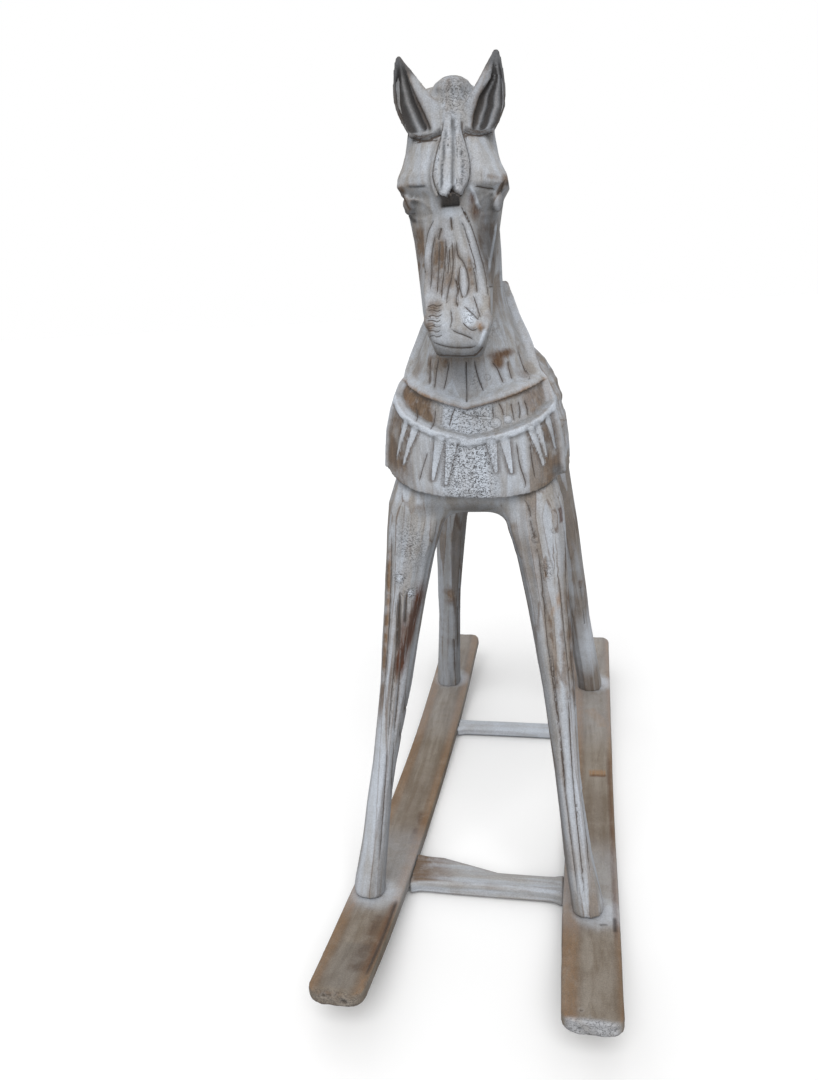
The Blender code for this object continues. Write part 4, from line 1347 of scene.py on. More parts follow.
LEG_CUTS = (
    Cut((-79, 415, -80.5, 395, -82, 375), 1.8, 1.4, DARK, 1.0),
    Cut((-87, 417, -89, 391, -90, 364, -93, 340), 2.0, 1.6, DARK, 1.0),
    Cut((-61, 432, -66, 405, -72, 385, -78, 362, -85, 342, -91, 318), 7.0, 0.0, STAIN, 1.0, 0.25),
    Cut((-78, 376, -84, 352, -89, 332, -94, 305), 9.5, 0.0, STAIN, 1.0, 0.3),
    Cut((-88, 412, -89.5, 388, -91, 362, -93, 345), 3.4, 0.6, DARK, 0.9, 0.2),
    Cut((-80, 410, -81.5, 392, -83, 374), 3.2, 0.6, DARK, 0.85, 0.2),
    Cut((-83, 392, -86, 368, -88, 346), 5.0, 0.0, STAIN, 0.6, 0.3),
    Cut((98, 385, 103, 330, 108, 270), 4.0, 0.0, BARE, 0.7),
    Cut((-66, 410, -74, 380, -82, 350, -88, 325), 4.0, 0.0, DARK, 0.55, 0.2),
    Cut((-93, 350, -92, 330, -94, 300), 4.0, 0.0, BARE, 0.8),
    Cut((98, 507, 99.5, 500, 100, 488), 3.0, 0.4, STAIN, 0.9),
    Cut((81.5, 457, 82.5, 442, 84.5, 430), 3.4, 0.3, BARE, 1.0),
    Cut((95, 414, 96.5, 401, 88, 390), 3.0, 0.0, OCHRE, 0.8),
    Cut((85, 400, 89, 370, 93, 330, 97, 290), 3.0, 0.0, BARE, 0.8),
    Cut((104, 440, 107, 400, 110, 350, 114, 300, 119, 240), 5.5, 0.0, BARE, 0.75),
    Cut((-100, 480, -103, 430, -107, 370, -113, 300, -120, 240), 5.5, 0.0, BARE, 0.85),
    Cut((-99, 470, -103, 400, -109, 330), 2.2, 0.0, OCHRE, 0.5),
)
KNOTS = ((-87, -237, 430, 5.2), (-74, -239, 412, 4.6), (92, -222, 483, 3.2), (71, -229, 475, 4.2),
         (44, -225, 611, 4.6), (31, -229, 608, 6.0), (22, -217, 657, 3.4))
SPOTS: dict[Mask, tuple[tuple[float, ...], ...]] = {
    PALE: (
        (-30, -262, 873, 24, 24, 0.12, 26), (31, -262, 872, 24, 26, 0.28, 26), (-2, -270, 825, 16, 8, 0.75, 20),
        (-6, -292, 706, 22, 10, 0.28, 20), (14, -291, 723.5, 9, 11, 0.95, 20), (33, -255, 816, 6, 6, 0.9, 14),
        # (33, -255, 816) is a painted highlight, a bright sliver beside the nose.
        (44, -225, 611, 6, 6, 0.6), (31, -229, 608, 8, 8, 0.6), (2, -212, 655, 42, 24, 0.55),
        (5, -213, 655, 8, 26, 0.55), (24, -212, 660, 10, 12, 0.4), (-74, -228, 468, 30, 46, 0.14, 50),
        (-87, -237, 430, 6, 6, 0.8), (-74, -239, 412, 6, 6, 0.8), (-112, -262, 110, 40, 200, 0.55, 70),
        (118, -262, 150, 30, 180, 0.32, 60), (127, 245, 140, 26, 100, 0.8, 60),
    ),
    BARE: (
        (34, -248, 806, 12, 24, 1, 60), (33, -248, 776, 10, 30, 1, 60), (44, -225, 782, 12, 40, 0.9, 70),
        (-42, -245, 800, 12, 34, 1, 60), (-44, -235, 775, 12, 30, 0.9, 60), (30, -245, 800, 10, 40, 0.8, 60),
        (-19, -268, 780, 18, 44, 0.85, 60), (-6, -275, 760, 10, 28, 0.7, 40), (15, -275, 768, 9, 26, 1, 40),
        (-55, -250, 851, 10, 7, 1, 14), (52, -251, 852, 9, 8, 1, 14), (20, -262, 828, 8, 18, 1, 20),
        (-22, -285, 735, 12, 14, 0.7), (-26, -292, 716, 8, 9, 1, 20), (27, -295, 712.5, 6, 7, 1, 16),
        (33, -250, 756, 9, 4, 1, 12), (31, -172, 756, 9, 5, 1, 20), (-24, -235, 925, 12, 12, 0.22, 60),
        (24, -235, 925, 12, 14, 0.26, 60), (-43, -202, 674, 6, 12, 1), (-24, -214, 674, 8, 9, 1),
        (34, -203, 680, 18, 7, 1), (33, -206, 672, 10, 12, 1), (41, -198, 681, 13, 7, 1),
        (-34, -210, 677, 12, 8, 0.9), (62, -188, 660, 14, 22, 0.6), (-64, -190, 672, 12, 22, 0.6),
        (-40, -234, 587, 7, 9, 0.9), (-80, -245, 368, 10, 34, 0.8, 40), (-103, 203, 248, 20, 30, 0.9),
        (123, 211, 276, 20, 30, 0.7),
    ),
    SOOT_AND_SHADE: (
        (30, -245, 797, 15, 54, 0.75, 70), (-46, -235, 800, 16, 50, 0.16, 75), (-18, -275, 780, 20, 44, 0.12, 60),
        # The two spots at (-51, 833) and (50, 833) are painted shade in the eye sockets under the brows.
        (-51, -245, 833, 10, 13, 0.45, 40), (50, -245, 833, 10, 13, 0.5, 40), (0, -285, 700, 40, 22, 0.1, 60),
        (0, -240, 930, 46, 34, 0.08, 60), (90, -204, 588, 12, 26, 0.35), (-84, -228, 470, 34, 60, 0.14, 60),
        # The spots at (0, 508) and (-52, 508) are painted shadow in the crotch between the front legs.
        (0, -215, 508, 44, 12, 0.55), (-52, -215, 508, 26, 14, 0.5), (95, -196, 549, 12, 10, 0.8),
    ),
    DARK: (
        (58, -250, 851, 6, 8, 0.9, 20), (-57, -250, 850, 5, 4, 0.7, 14), (54, -250, 850, 5, 5, 0.8, 14),
    ),
    STAIN: (
        (18.7, -266, 837, 5, 7, 0.7, 20), (21.7, -259, 825, 5, 8, 0.6, 20), (34, -204, 679.5, 15, 5, 0.55),
        (33, -206, 673, 8, 11, 0.5), (41, -198, 681, 12, 6, 0.4), (-80, -245, 368, 9, 32, 0.75, 40),
    ),
    OCHRE: (
        (25, -296, 716, 4, 5, 0.8, 16), (-72, -205, 633, 15, 12, 0.3), (33, -206, 674, 10, 9, 0.35),
        (-103, 200, 248, 8, 16, 0.7),
    ),
    CRACKLE: (
        (14, -291, 723.5, 9, 11, 0.9, 20), (4, -240, 935, 26, 40, 0.8, 60), (35, -215, 715, 22, 26, 0.6, 40),
        (8, -215, 655, 9, 16, 0.6), (-74, -228, 470, 26, 44, 0.8, 50), (-87, -237, 430, 13, 15, 1),
        (-74, -239, 412, 12, 14, 1), (84, -236, 440, 8, 16, 1),
    ),
}


@dataclass
class Face:
    """Forelock, brows, eyes, nose and muzzle."""

    lid_half: float = 0.0017
    lid_rise: float = 0.8
    lids: tuple[Seen, ...] = (
        (-264, 825, -256, 840, -245, 847, -233, 845, -224, 837),
        (-264, 825, -253, 822, -240, 824, -230, 829, -224, 837),
    )
    mouth: Seen = (-288, 702, -275, 706, -264, 711, -256, 718)
    cheek: Seen = (-176, 870, -162, 845, -160, 815, -176, 788, -202, 772)
    # The chin's lower outline, painted dark as shade.
    chin: Seen = (-32, 706, -29, 697, -24.8, 689, -7, 687, 8, 685.5, 20, 687, 28, 695)
    sliver: Seen = (31, 713, 27, 703, 22, 693)
    wrinkle_heights: tuple[float, ...] = (737, 732, 727, 722, 717, 712, 707)
    wrinkle_lean: float = 0.7
    forelock: Forelock = Forelock()

    def strips(self, surface: Surface) -> list[Strip]:
        """The eyelids, as raised strips."""
        found = []
        for side in (-1, 1):
            for path in self.lids:
                points = spline([(0.0, y * MM, z * MM) for y, z in zip(path[::2], path[1::2])], 5)
                hits = [hit for hit in (surface.flank(side, p.y, p.z) for p in points) if hit]
                halves = [self.lid_half * (0.5 + 0.5 * sin(pi * k / (len(hits) - 1))) for k in range(len(hits))]
                found.append(Strip(hits, halves, self.lid_rise))
        return found

    def wrinkles(self) -> list[Seen]:
        """The wrinkles over the nostril, which lean one way and the other by turns."""
        leans = [self.wrinkle_lean * (-1) ** k for k in range(len(self.wrinkle_heights))]
        return [
            (-29, height - lean, -23, height + 1.0, -18, height - 0.6, -13 + lean, height + 1.4)
            for lean, height in zip(leans, self.wrinkle_heights)
        ]

    def carve(self, sculpt: Sculpt, surface: Surface) -> None:
        """Cuts and marks the face."""
        for cut in (*BROW_CUTS, *NOSE_CUTS):
            cut.lay(sculpt, surface)
        self.forelock.carve(sculpt, surface)
        lay_lines(NOSE_LINES, NOSE_LOOK, sculpt, surface)
        lay_lines(MUZZLE_LINES, MUZZLE_LOOK, sculpt, surface)
        lay_lines(self.wrinkles(), WRINKLE_LOOK, sculpt, surface)
        _, y, z = sculpt.points.T
        # Painted shade: the muzzle's underside, where it faces down, is greyed, and a dark line follows the chin's
        # lower outline.
        under = ease(-0.10, -0.55, sculpt.normals[:, 2]) * ease(-0.235, -0.245, y) * ease(0.712, 0.700, z)
        sculpt.mark(SOOT_AND_SHADE, under * 0.45)
        Cut(self.chin, 2.0, 0.4, DARK, 0.9, 0.03).lay(sculpt, surface)
        Cut(self.sliver, 2.6, -1.2, PALE, 1.0, 0.2).lay(sculpt, surface)
        for side in (-1, 1):
            for path, half, depth, mask in ((self.mouth, 2.2, 2.0, DARK), (self.cheek, 4.0, 2.2, HOLLOW)):
                found = on_flank(surface, side, path)
                sculpt.groove(found, half * MM, depth * MM, mask, 0.6, 0.15, SEEN_FROM_SIDE)


@dataclass(frozen=True)
class Course:
    """A line around the chest: its height in front, its climb backwards, its fall to +X, its climb to both sides."""

    height: float
    back: float
    fall: float
    climb: float


@dataclass
class Collar:
    """The stepped breast collar with its rims and darts."""

    bottom: Course = Course(0.529, 0.62, 0.05, 0.0)
    lower: Course = Course(0.5930, 0.391, 0.077, 0.226)
    upper: Course = Course(0.629, 0.10, 0.04, 0.26)
    front_y: float = -0.225
    side_y: float = -0.190
    knee_z: float = 0.620
    slope: float = 1.8
    tilt: float = 0.05
    ends_y: float = -0.10
    top_z: float = 0.76
    rim_half: float = 0.0038
    dart_half: float = 0.0030
    dart_end_half: float = 0.0010
    dart_rise: float = 0.30
    dart_drop: float = 0.0012
    dart_pale: float = 0.6
    dart_steps: int = 8
    dart_off: float = 0.05
    rim_pale: float = 0.7
    line_half: float = 0.0006
    axis_y: float = -0.12
    darts: tuple[tuple[Pair, Point, float], ...] = (
        ((-73, -222), (-86, -213, 571), 0.9),
        ((-61, -229), (-78, -220, 563), 1.0),
        ((-32, -237), (-42, -233, 547), 1.2),
        ((-18, -235), (-27, -235, 541), 1.3),
        ((26, -235), (30, -235, 555), 1.2),
        ((41, -235), (47, -232, 553), 1.1),
        ((66, -218), (81, -215, 558), 1.0),
        ((72, -213), (84, -212, 568), 0.8),
        ((86, -204), (93, -200, 574), 0.9),
    )

    def line(self, points: Array, course: Course) -> Array:
        """How far each point is above a line of the collar."""
        x, y, z = points.T
        return z - course.height - course.back * (y - self.front_y) + course.fall * x - course.climb * np.abs(x)

    def side(self, points: Array) -> Array:
        """How far each point is behind the collar's edge on the shoulder."""
        x, y, z = points.T
        return y - self.side_y - np.maximum(0.0, z + self.tilt * x - self.knee_z) / self.slope

    def plain(self, points: Array) -> Array:
        """Where the collar's rims and darts leave no room for gouge marks."""
        _, y, z = points.T
        lower = ease(0.009, 0.006, np.abs(self.line(points, self.lower)))
        upper = ease(0.009, 0.005, np.abs(self.line(points, self.upper)))
        behind = self.side(points)
        edge = ease(0.008, 0.005, np.abs(behind)) * (y < self.ends_y) * (z < self.top_z)
        return np.maximum(ease(0.008, 0.004, behind) * np.maximum(lower, upper), edge)

    def strips(self, surface: Surface) -> list[Strip]:
        """The darts that hang from the lower rim."""
        self.laid: list[Strip] = []
        for start, end, broad in self.darts:
            hits = []
            foot = np.array([[start[0] * MM, start[1] * MM, 0.0]])
            top = -self.line(foot, self.lower)[0] - self.rim_half - self.dart_drop
            for k in range(self.dart_steps + 1):
                share = k / self.dart_steps
                point = Vector((start[0] * MM, start[1] * MM, top)).lerp(Vector(end) * MM, share)
                out = Vector((point.x, point.y - self.axis_y, 0.0)).normalized()
                hit = surface.hit(point + out * self.dart_off, -out)
                if hit:
                    hits.append((hit[0], out))
            whole = self.dart_half * broad
            halves = [whole + (self.dart_end_half - whole) * k / self.dart_steps for k in range(len(hits))]
            self.laid.append(Strip(hits, halves, self.dart_rise))
        return self.laid

    def carve(self, sculpt: Sculpt, surface: Surface) -> None:
        """Marks the rims, the darts and the worn bands."""
        points = sculpt.points
        x, y, z = points.T
        before = ease(0.004, -0.003, self.side(points)) * (z < self.top_z) * (y < self.ends_y)
        low, lower, upper = (self.line(points, course) for course in (self.bottom, self.lower, self.upper))
        half = self.rim_half
        away = np.abs(x)
        skirt = before * ease(-0.002, 0.003, low) * ease(0.0, -0.003, lower + half)
        band = before * ease(0.0, 0.003, lower - half) * ease(0.0, -0.003, upper + half * 0.5)
        rim = ease(half + 0.0006, half - 0.0012, np.abs(lower + 0.0003)) * before
        side = ease(0.0048, 0.0025, np.abs(self.side(points))) * (low > -0.004) * (z < 0.74) * (y < -0.12)
        # Painted shade just below and above the lower rim, and a painted ochre shadow under the upper rim.
        shade_under_rim = ease(0.0, 0.0012, -lower - half) * ease(0.006, 0.0012, -lower - half)
        shade_above_rim = ease(0.0035, 0.0005, lower - half) * ease(-0.001, 0.0003, lower - half)
        shadow_under_top = ease(-0.001, 0.001, -upper - half * 0.4) * ease(0.0055, 0.0015, -upper - half * 0.4)
        worn = np.maximum(ease(0.026, 0.046, -x), 0.65 * ease(0.045, 0.068, x))
        flank = skirt * ease(0.058, 0.082, away)
        middle = ease(0.042, 0.016, away) * (before > 0.5)
        for off, strength in ((upper + 0.0042, 0.45), (low + 0.0008, 1.0)):
            found = np.flatnonzero((before > 0.5) & (np.abs(off) < Sculpt.LINE_REACH))
            sculpt.ink(found, off[found], self.line_half, strength)
        sculpt.paint(
            (PALE, before * ease(0.0042, 0.001, np.abs(upper - 0.003)) * 0.32),
            (PALE, side * 0.5),
            # Painted shade at the lower rim and a painted ochre shadow under the upper rim.
            (SOOT_AND_SHADE, before * shade_under_rim * 0.25),
            (SOOT_AND_SHADE, before * shade_above_rim * 0.3),
            (OCHRE, before * shadow_under_top * 0.55),
            (BARE, band * worn),
            (BARE, flank * 0.75),
            (SOOT_AND_SHADE, flank * 0.08),
            (PALE, middle * (band * 0.6 + skirt * 0.35) + 0.25 * skirt * ease(0.07, 0.05, away)),
            (CRACKLE, middle * (skirt + band * 0.85) + 0.35 * rim * (away < 0.03)),
            (DARK, before * ease(0.0028, 0.0004, np.abs(low + 0.0008)) * 0.5),
            (BARE, before * ease(0.008, 0.0, np.abs(low - 0.004)) * 0.45),
        )
        sculpt.masks[BARE] *= 1 - rim
        sculpt.mark(PALE, rim * self.rim_pale)
        for strip in self.laid:
            self.paint_dart(sculpt, strip)

    def paint_dart(self, sculpt: Sculpt, strip: Strip) -> None:
        """Whitens a dart and darkens the groove around it."""
        found, gap, share, _ = sculpt.near([place for place, _ in strip.places], 0.011, (0.6, 0.6, 1.0))
        half = strip.halves[0] + (self.dart_end_half - strip.halves[0]) * share
        pale = ease(1.15, 0.85, gap / half) * self.dart_pale
        clear = 1 - pale / self.dart_pale
        sculpt.mark(PALE, pale, found)
        for mask, amount in ((BARE, 0.9), (SOOT_AND_SHADE, 0.35)):
            sculpt.masks[mask][found] *= clear
            sculpt.mark(mask, ease(0.0035, 0.0010, gap - half) * clear * amount, found)
        sculpt.ink(found, gap - half - 0.0003, 0.0004, 0.55 * ease(0.0, 0.1, share))


@dataclass
class Shoulder:
    """The leaf carved on each shoulder behind the collar."""

    veins: tuple[Seen, ...] = (
        (-180, 556, -177, 600, -169, 645, -148, 690),
        (-166, 556, -161, 600, -152, 642, -134, 685),
        (-150, 560, -144, 600, -135, 638, -121, 678),
        (-134, 568, -127, 602, -119, 635, -109, 668),
    )
    edge: Seen = (-160, 543, -120, 565, -95, 610, -90, 655, -102, 695, -125, 728)
    hollow: Groove = (0.0062, 0.0030, BARE, 0.6, 0.2)
    line: Groove = (0.0016, 0.0, DARK, 0.35, 0.2)
    outline: Groove = (0.0035, 0.0016, BARE, 0.6, 0.05)

    def carve(self, sculpt: Sculpt, surface: Surface) -> None:
        """Cuts the veins and the outline."""
        for side in (-1, 1):
            for path in self.veins:
                found = on_flank(surface, side, path)
                for cut in (self.hollow, self.line):
                    sculpt.groove(found, *cut, SEEN_FROM_SIDE)
            sculpt.groove(on_flank(surface, side, self.edge), *self.outline, SEEN_FROM_SIDE)


@dataclass
class SaddleCloth:
    """The cloth carved over the back."""

    front_y: float = -0.065
    rear_y: float = 0.110
    bottom_z: float = 0.560
    top_z: float = 0.800
    flare: float = 0.015
    half_width: float = 0.12
    border_in: float = 0.010
    groove_half: float = 0.0022
    groove_depth: float = 0.0016
    fringe_pitch: float = 0.0090
    fringe_top: float = 0.022
    fringe_depth: float = 0.0020

    def carve(self, sculpt: Sculpt) -> None:
        """Cuts a border along the edges and a fringe along the hem."""
        x, y, z = sculpt.points.T
        lean = self.flare * (z - self.bottom_z) / (self.top_z - self.bottom_z)
        border = np.minimum(y - (self.front_y - lean), (self.rear_y + lean) - y)
        up = z - self.bottom_z
        inside = ease(0.0, 0.003, border) * ease(0.0, 0.002, up) * (np.abs(x) < self.half_width)
        groove = ease(self.groove_half, 0.0, np.abs(border - self.border_in)) * ease(0.0, 0.004, up - self.fringe_top)
        groove = np.maximum(groove, ease(self.groove_half, 0.0, np.abs(up - self.fringe_top - 0.004)))
        fringe = 0.5 + 0.5 * np.cos(2 * pi * y / self.fringe_pitch)
        fringe *= ease(self.fringe_top, self.fringe_top - 0.004, up) * (up < self.fringe_top)
        sculpt.push(-inside * (self.groove_depth * groove + self.fringe_depth * fringe))
        sculpt.paint(
            (HOLLOW, inside * 0.6 * groove),
            (BARE, inside * fringe * 0.7),
            (PALE, inside * ease(0.0045, 0.002, border) * 0.6),
        )


@dataclass
class Hair:
    """The strands of the mane and of the tail."""

    crest: tuple[Pair, ...] = (
        (-0.176, 0.942), (-0.150, 0.924), (-0.127, 0.882), (-0.106, 0.832),
        (-0.088, 0.784), (-0.069, 0.738), (-0.048, 0.702), (-0.016, 0.684),
    )
    tail: tuple[Pair, ...] = (
        (0.200, 0.668), (0.222, 0.655), (0.240, 0.610), (0.247, 0.550), (0.246, 0.490), (0.240, 0.440), (0.236, 0.418),
    )
    mane_reach: float = 0.023
    mane_pitch: float = 0.0058
    mane_depth: float = 0.0011
    tail_reach: float = 0.034
    tail_strands: int = 9
    tail_depth: float = 0.0019
    hollow: float = 0.6

    def carve(self, sculpt: Sculpt) -> None:
        """Cuts the strands."""
        found, gap, share = self.follow(sculpt, self.crest, self.mane_reach)
        x = sculpt.points[found, 0]
        wave = x + 0.004 * np.sin(share * 34.0)
        groove = (0.5 + 0.5 * np.cos(2 * pi * wave / self.mane_pitch)) * ease(self.mane_reach, 0.016, gap)
        self.cut(sculpt, found, groove * (np.abs(x) < 0.018), self.mane_depth)
        found, gap, share = self.follow(sculpt, self.tail, self.tail_reach)
        x, y, z = sculpt.points[found].T
        middle = np.interp(z, [p[1] for p in reversed(self.tail)], [p[0] for p in reversed(self.tail)])
        turn = self.tail_strands * np.arctan2(x, y - middle)
        groove = (0.5 + 0.5 * np.cos(turn + 2.2 * np.sin(share * 7.0))) * ease(0.0, 0.12, share)
        self.cut(sculpt, found, groove * ((y > 0.218) | (z < 0.56)), self.tail_depth)

    def follow(self, sculpt: Sculpt, path: tuple[Pair, ...], reach: float) -> tuple[Array, Array, Array]:
        """The points near a path in the middle plane, how far off each is and how far along."""
        return sculpt.near(spline([(0.0, y, z) for y, z in path], 6), reach)[:3]

    def cut(self, sculpt: Sculpt, found: Array, groove: Array, depth: float) -> None:
        """Sinks grooves between the strands and dirties them."""
        sculpt.push(-depth * groove, found)
        sculpt.mark(HOLLOW, groove * self.hollow, found)


@dataclass
class Horse:
    """The carved horse: one solid from ears to feet."""

    voxel: float = 0.0016
    most_triangles: int = 194000
    patches: tuple[Gouging, ...] = (
        Gouging("zone_flank", Way.ALONG, 0.024, 0.160, 0.0009, 3.1, 0.35, 0.8, 0.45),
        Gouging("zone_neck", Way.UP, 0.021, 0.080, 0.0007, 7.7, 0.35, 0.7, 0.40),
        Gouging("zone_chest", Way.UP, 0.019, 0.300, 0.0007, 5.2, 0.35, 0.8, 0.27),
        Gouging("zone_leg", Way.UP, 0.0125, 0.450, 0.0007, 9.4, 0.35, 0.9, 0.70),
        Gouging("zone_plain", Way.UP, 0.020, 0.300, 0.0, 1.3, 0.0, 0.5, 0.0),
    )
    ears: tuple[Ear, ...] = (
        Ear((-19, 904, -32, 931, -40, 949, -47, 970),
            (-43, 902, -49.5, 914, -55.5, 932, -55.5, 948, -51.5, 970),
            ((0.24, 0.06, 0.5), (0.54, 0.11, 1.0))),
        Ear((18, 900, 21, 915, 27, 930, 39, 945, 43, 962),
            (38, 897, 46, 907, 52.5, 921, 51.5, 937, 47, 962),
            ((0.33, 0.06, 0.7), (0.64, 0.10, 1.0))),
    )
    legs: Legs = field(default_factory=Legs)
    face: Face = field(default_factory=Face)
    collar: Collar = field(default_factory=Collar)
    shoulder: Shoulder = field(default_factory=Shoulder)
    saddle: SaddleCloth = field(default_factory=SaddleCloth)
    hair: Hair = field(default_factory=Hair)
    jaw_z: tuple[float, ...] = (0.684, 0.714, 0.750, 0.775, 0.800, 0.830)
    jaw_y: tuple[float, ...] = (-0.238, -0.222, -0.192, -0.166, -0.152, -0.146)
    plane_rounds: int = 22
    crotch_rounds: int = 420
    rear_crotch_rounds: int = 160
    throat_rounds: int = 90
    poll_rounds: int = 60
    rim_rounds: int = 14
    chin_rounds: int = 40
    worn_height: float = 0.0014
    poll: Point = (0.0, -0.235, 0.925)
    poll_reach: Point = (0.034, 0.06, 0.026)
    knot_height: float = 0.45
    knot_ring: float = 0.6

    def zones(self, points: Array) -> dict[str, Array]:
        """Shares of each way of carving.

        Args:
            points: The places.

        Returns:
            A share from 0 to 1 by the zone's name.
        """
        x, y, z = points.T
        head = ease(0.006, -0.002, y - np.interp(z, self.jaw_z, self.jaw_y)) * ease(0.676, 0.684, z)
        below = ease(0.002, -0.002, self.collar.line(points, self.collar.bottom))
        leg = np.where(y < -0.10, np.maximum(below, ease(0.52, 0.49, z)), ease(0.53, 0.485, z))
        chest = ease(0.006, -0.004, self.collar.side(points)) * (1 - below) * ease(0.74, 0.70, z) * (1 - head)
        neck = ease(0.66, 0.70, z) * (1 - chest)
        ears = ease(0.885, 0.900, z) * ease(-0.19, -0.20, y)
        belly = ease(0.490, 0.500, z) * ease(0.530, 0.520, z) * ease(0.055, 0.045, np.abs(x)) * below
        plain = np.maximum.reduce([head, ears, belly, self.collar.plain(points)])
        rest = 1 - plain
        return {
            "zone_flank": rest * (1 - neck) * (1 - chest) * (1 - leg),
            "zone_neck": rest * neck,
            "zone_chest": rest * chest,
            "zone_leg": rest * leg,
            "zone_plain": plain,
        }

    def soften(self, sculpt: Sculpt) -> None:
        """Smooths broad planes more than fine ones."""
        x, y, z = sculpt.points.T
        below = self.collar.line(sculpt.points, self.collar.bottom) < -0.004
        trunk = ease(0.69, 0.60, z) * ease(0.0, 0.02, self.collar.side(sculpt.points))
        neck = ease(0.66, 0.72, z) * ease(0.92, 0.88, z) * ease(-0.20, -0.18, y)
        plain = np.maximum(np.maximum(trunk, neck), below * (y < 0))
        sculpt.relax(2)
        sculpt.relax(self.plane_rounds, plain)
        crotch = (z > 0.40) & (z < 0.535) & (np.abs(x) < 0.10) & below & (y < 0)
        sculpt.fill(crotch, self.crotch_rounds)
        sculpt.fill((z > 0.40) & (z < 0.56) & (y > 0.06), self.rear_crotch_rounds)
        above = self.collar.line(sculpt.points, self.collar.upper)
        throat = (above > 0.001) & (above < 0.024) & (self.collar.side(sculpt.points) < 0.0) & (y < -0.1)
        sculpt.fill(throat, self.throat_rounds)
        sculpt.fill((z > 0.903) & (z < 0.952) & (np.abs(x) < 0.030) & (y < -0.16), self.poll_rounds)
        low = self.collar.line(sculpt.points, self.collar.lower)
        rim = ease(0.012, 0.007, np.abs(low)) * (y < -0.1) * (self.collar.side(sculpt.points) < 0.004)
        sculpt.relax(self.rim_rounds, rim)
        _, y, z = sculpt.points.T
        chin = ease(0.712, 0.700, z) * ease(-0.238, -0.250, y)
        sculpt.relax(self.chin_rounds, chin, keep_volume=False)

    def knot(self, sculpt: Sculpt, centre: Point, radius: float) -> None:
        """Raises a knot with a thin ring around it."""
        away = np.linalg.norm(sculpt.points - np.array(centre) * MM, axis=1) / MM
        ring = ease(2.0, 0.0, np.abs(away - radius))
        sculpt.push(MM * (self.knot_height * ease(radius, radius * 0.2, away) - self.knot_ring * ring))
        found = np.flatnonzero(np.abs(away - radius) < Sculpt.LINE_REACH / MM)
        sculpt.ink(found, (away[found] - radius) * MM, 0.0004, 0.4)

    def carve(self, sculpt: Sculpt, surface: Surface) -> None:
        """Cuts and marks everything but the gouge marks."""
        self.collar.carve(sculpt, surface)
        self.shoulder.carve(sculpt, surface)
        self.saddle.carve(sculpt)
        sculpt.refresh()
        self.hair.carve(sculpt)
        for ear in self.ears:
            ear.carve(sculpt)
        self.face.carve(sculpt, surface)
        lay_lines((*CHEST_LINES, *LEG_LINES), CHEST_LOOK, sculpt, surface)
        for cut in (*CHEST_CUTS, *LEG_CUTS):
            cut.lay(sculpt, surface)
        for *centre, radius in KNOTS:
            self.knot(sculpt, centre, radius)
        for mask, rows in SPOTS.items():
            for row in rows:
                Patch(*row).lay(mask, sculpt)
        sculpt.refresh()

    def build(self, trees: CarvingTrees, effects: Effects) -> Object:
        """Makes the horse.

        Args:
            trees: The trees that carve.
            effects: The shared shader groups.

        Returns:
            The finished piece.
        """
        base = merged_copy(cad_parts["horse"])
        surface = Surface(base)
        strips = self.face.strips(surface) + self.collar.strips(surface)
        sculpt = Sculpt("carved_horse", [base, *strip_shells(strips, trees)], self.voxel)
        self.soften(sculpt)
        points = sculpt.points.copy()
        front = ease(-0.10, -0.15, points[:, 1])
        sculpt.detail = front * (0.35 + 0.65 * ease(0.50, 0.54, points[:, 2]))
        self.carve(sculpt, surface)
        sculpt.store(Way.UP.value, self.legs.grain(points))
        sculpt.store(Way.ALONG.value, points[:, [0, 2, 1]])
        for name, share in self.zones(points).items():
            sculpt.store(name, share)
        sculpt.gouge(trees, self.patches)
        sculpt.wear_and_shade(self.worn_height)
        sculpt.masks[HOLLOW] *= 1 - 0.75 * spot(points, self.poll, self.poll_reach)
        # Painted shade: the legs' inner faces are greyed, the rear legs more.
        inner = ease(-0.1, -0.6, sculpt.normals[:, 0] * np.sign(points[:, 0])) * ease(0.50, 0.46, points[:, 2])
        sculpt.mark(SOOT_AND_SHADE, inner * np.where(points[:, 1] > 0, 0.42, 0.34))
        material = Whitewash("whitewashed_carving", self.patches).material(effects)
        return sculpt.finish(self.most_triangles, material)


@dataclass
class Timber:
    """A piece of the stand, hewn and worn along its length."""

    node: str
    name: str

    VOXEL = 0.0014
    MOST_TRIANGLES = 40000
    GRAIN = (1, 2, 0)
    RELAX_ROUNDS = 4
    WORN_HEIGHT = 0.0012
    SLOT = Slot.PAINTED

    def gouging(self) -> Gouging:
        """The gouge marks on it."""
        return Gouging("zone_rail", Way.ALONG, 0.012, 0.16, 0.0005, 2.2, 0.35, 0.6, 0.22)

    def chip(self, sculpt: Sculpt) -> None:
        """Knocks chips off before the gouge marks are cut."""

    def age(self, sculpt: Sculpt) -> None:
        """Wears and stains it."""

    def wash(self, patches: tuple[Gouging, ...]) -> Whitewash:
        """The look of its surface."""
        return Whitewash("whitewashed_" + self.name, patches)

    def build(self, trees: CarvingTrees, effects: Effects) -> Object:
        """Makes the piece.

        Args:
            trees: The trees that carve.
            effects: The shared shader groups.

        Returns:
            The finished piece.
        """
        sculpt = Sculpt(self.name, [merged_copy(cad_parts[self.node])], self.VOXEL)
        sculpt.relax(self.RELAX_ROUNDS)
        patches = (self.gouging(),)
        sculpt.store(Way.UP.value, sculpt.points)
        sculpt.store(Way.ALONG.value, sculpt.points[:, self.GRAIN])
        sculpt.store(patches[0].zone, np.ones(len(sculpt.points)))
        self.chip(sculpt)
        sculpt.gouge(trees, patches)
        sculpt.wear_and_shade(self.WORN_HEIGHT)
        self.age(sculpt)
        return sculpt.finish(self.MOST_TRIANGLES, self.wash(patches).material(effects))


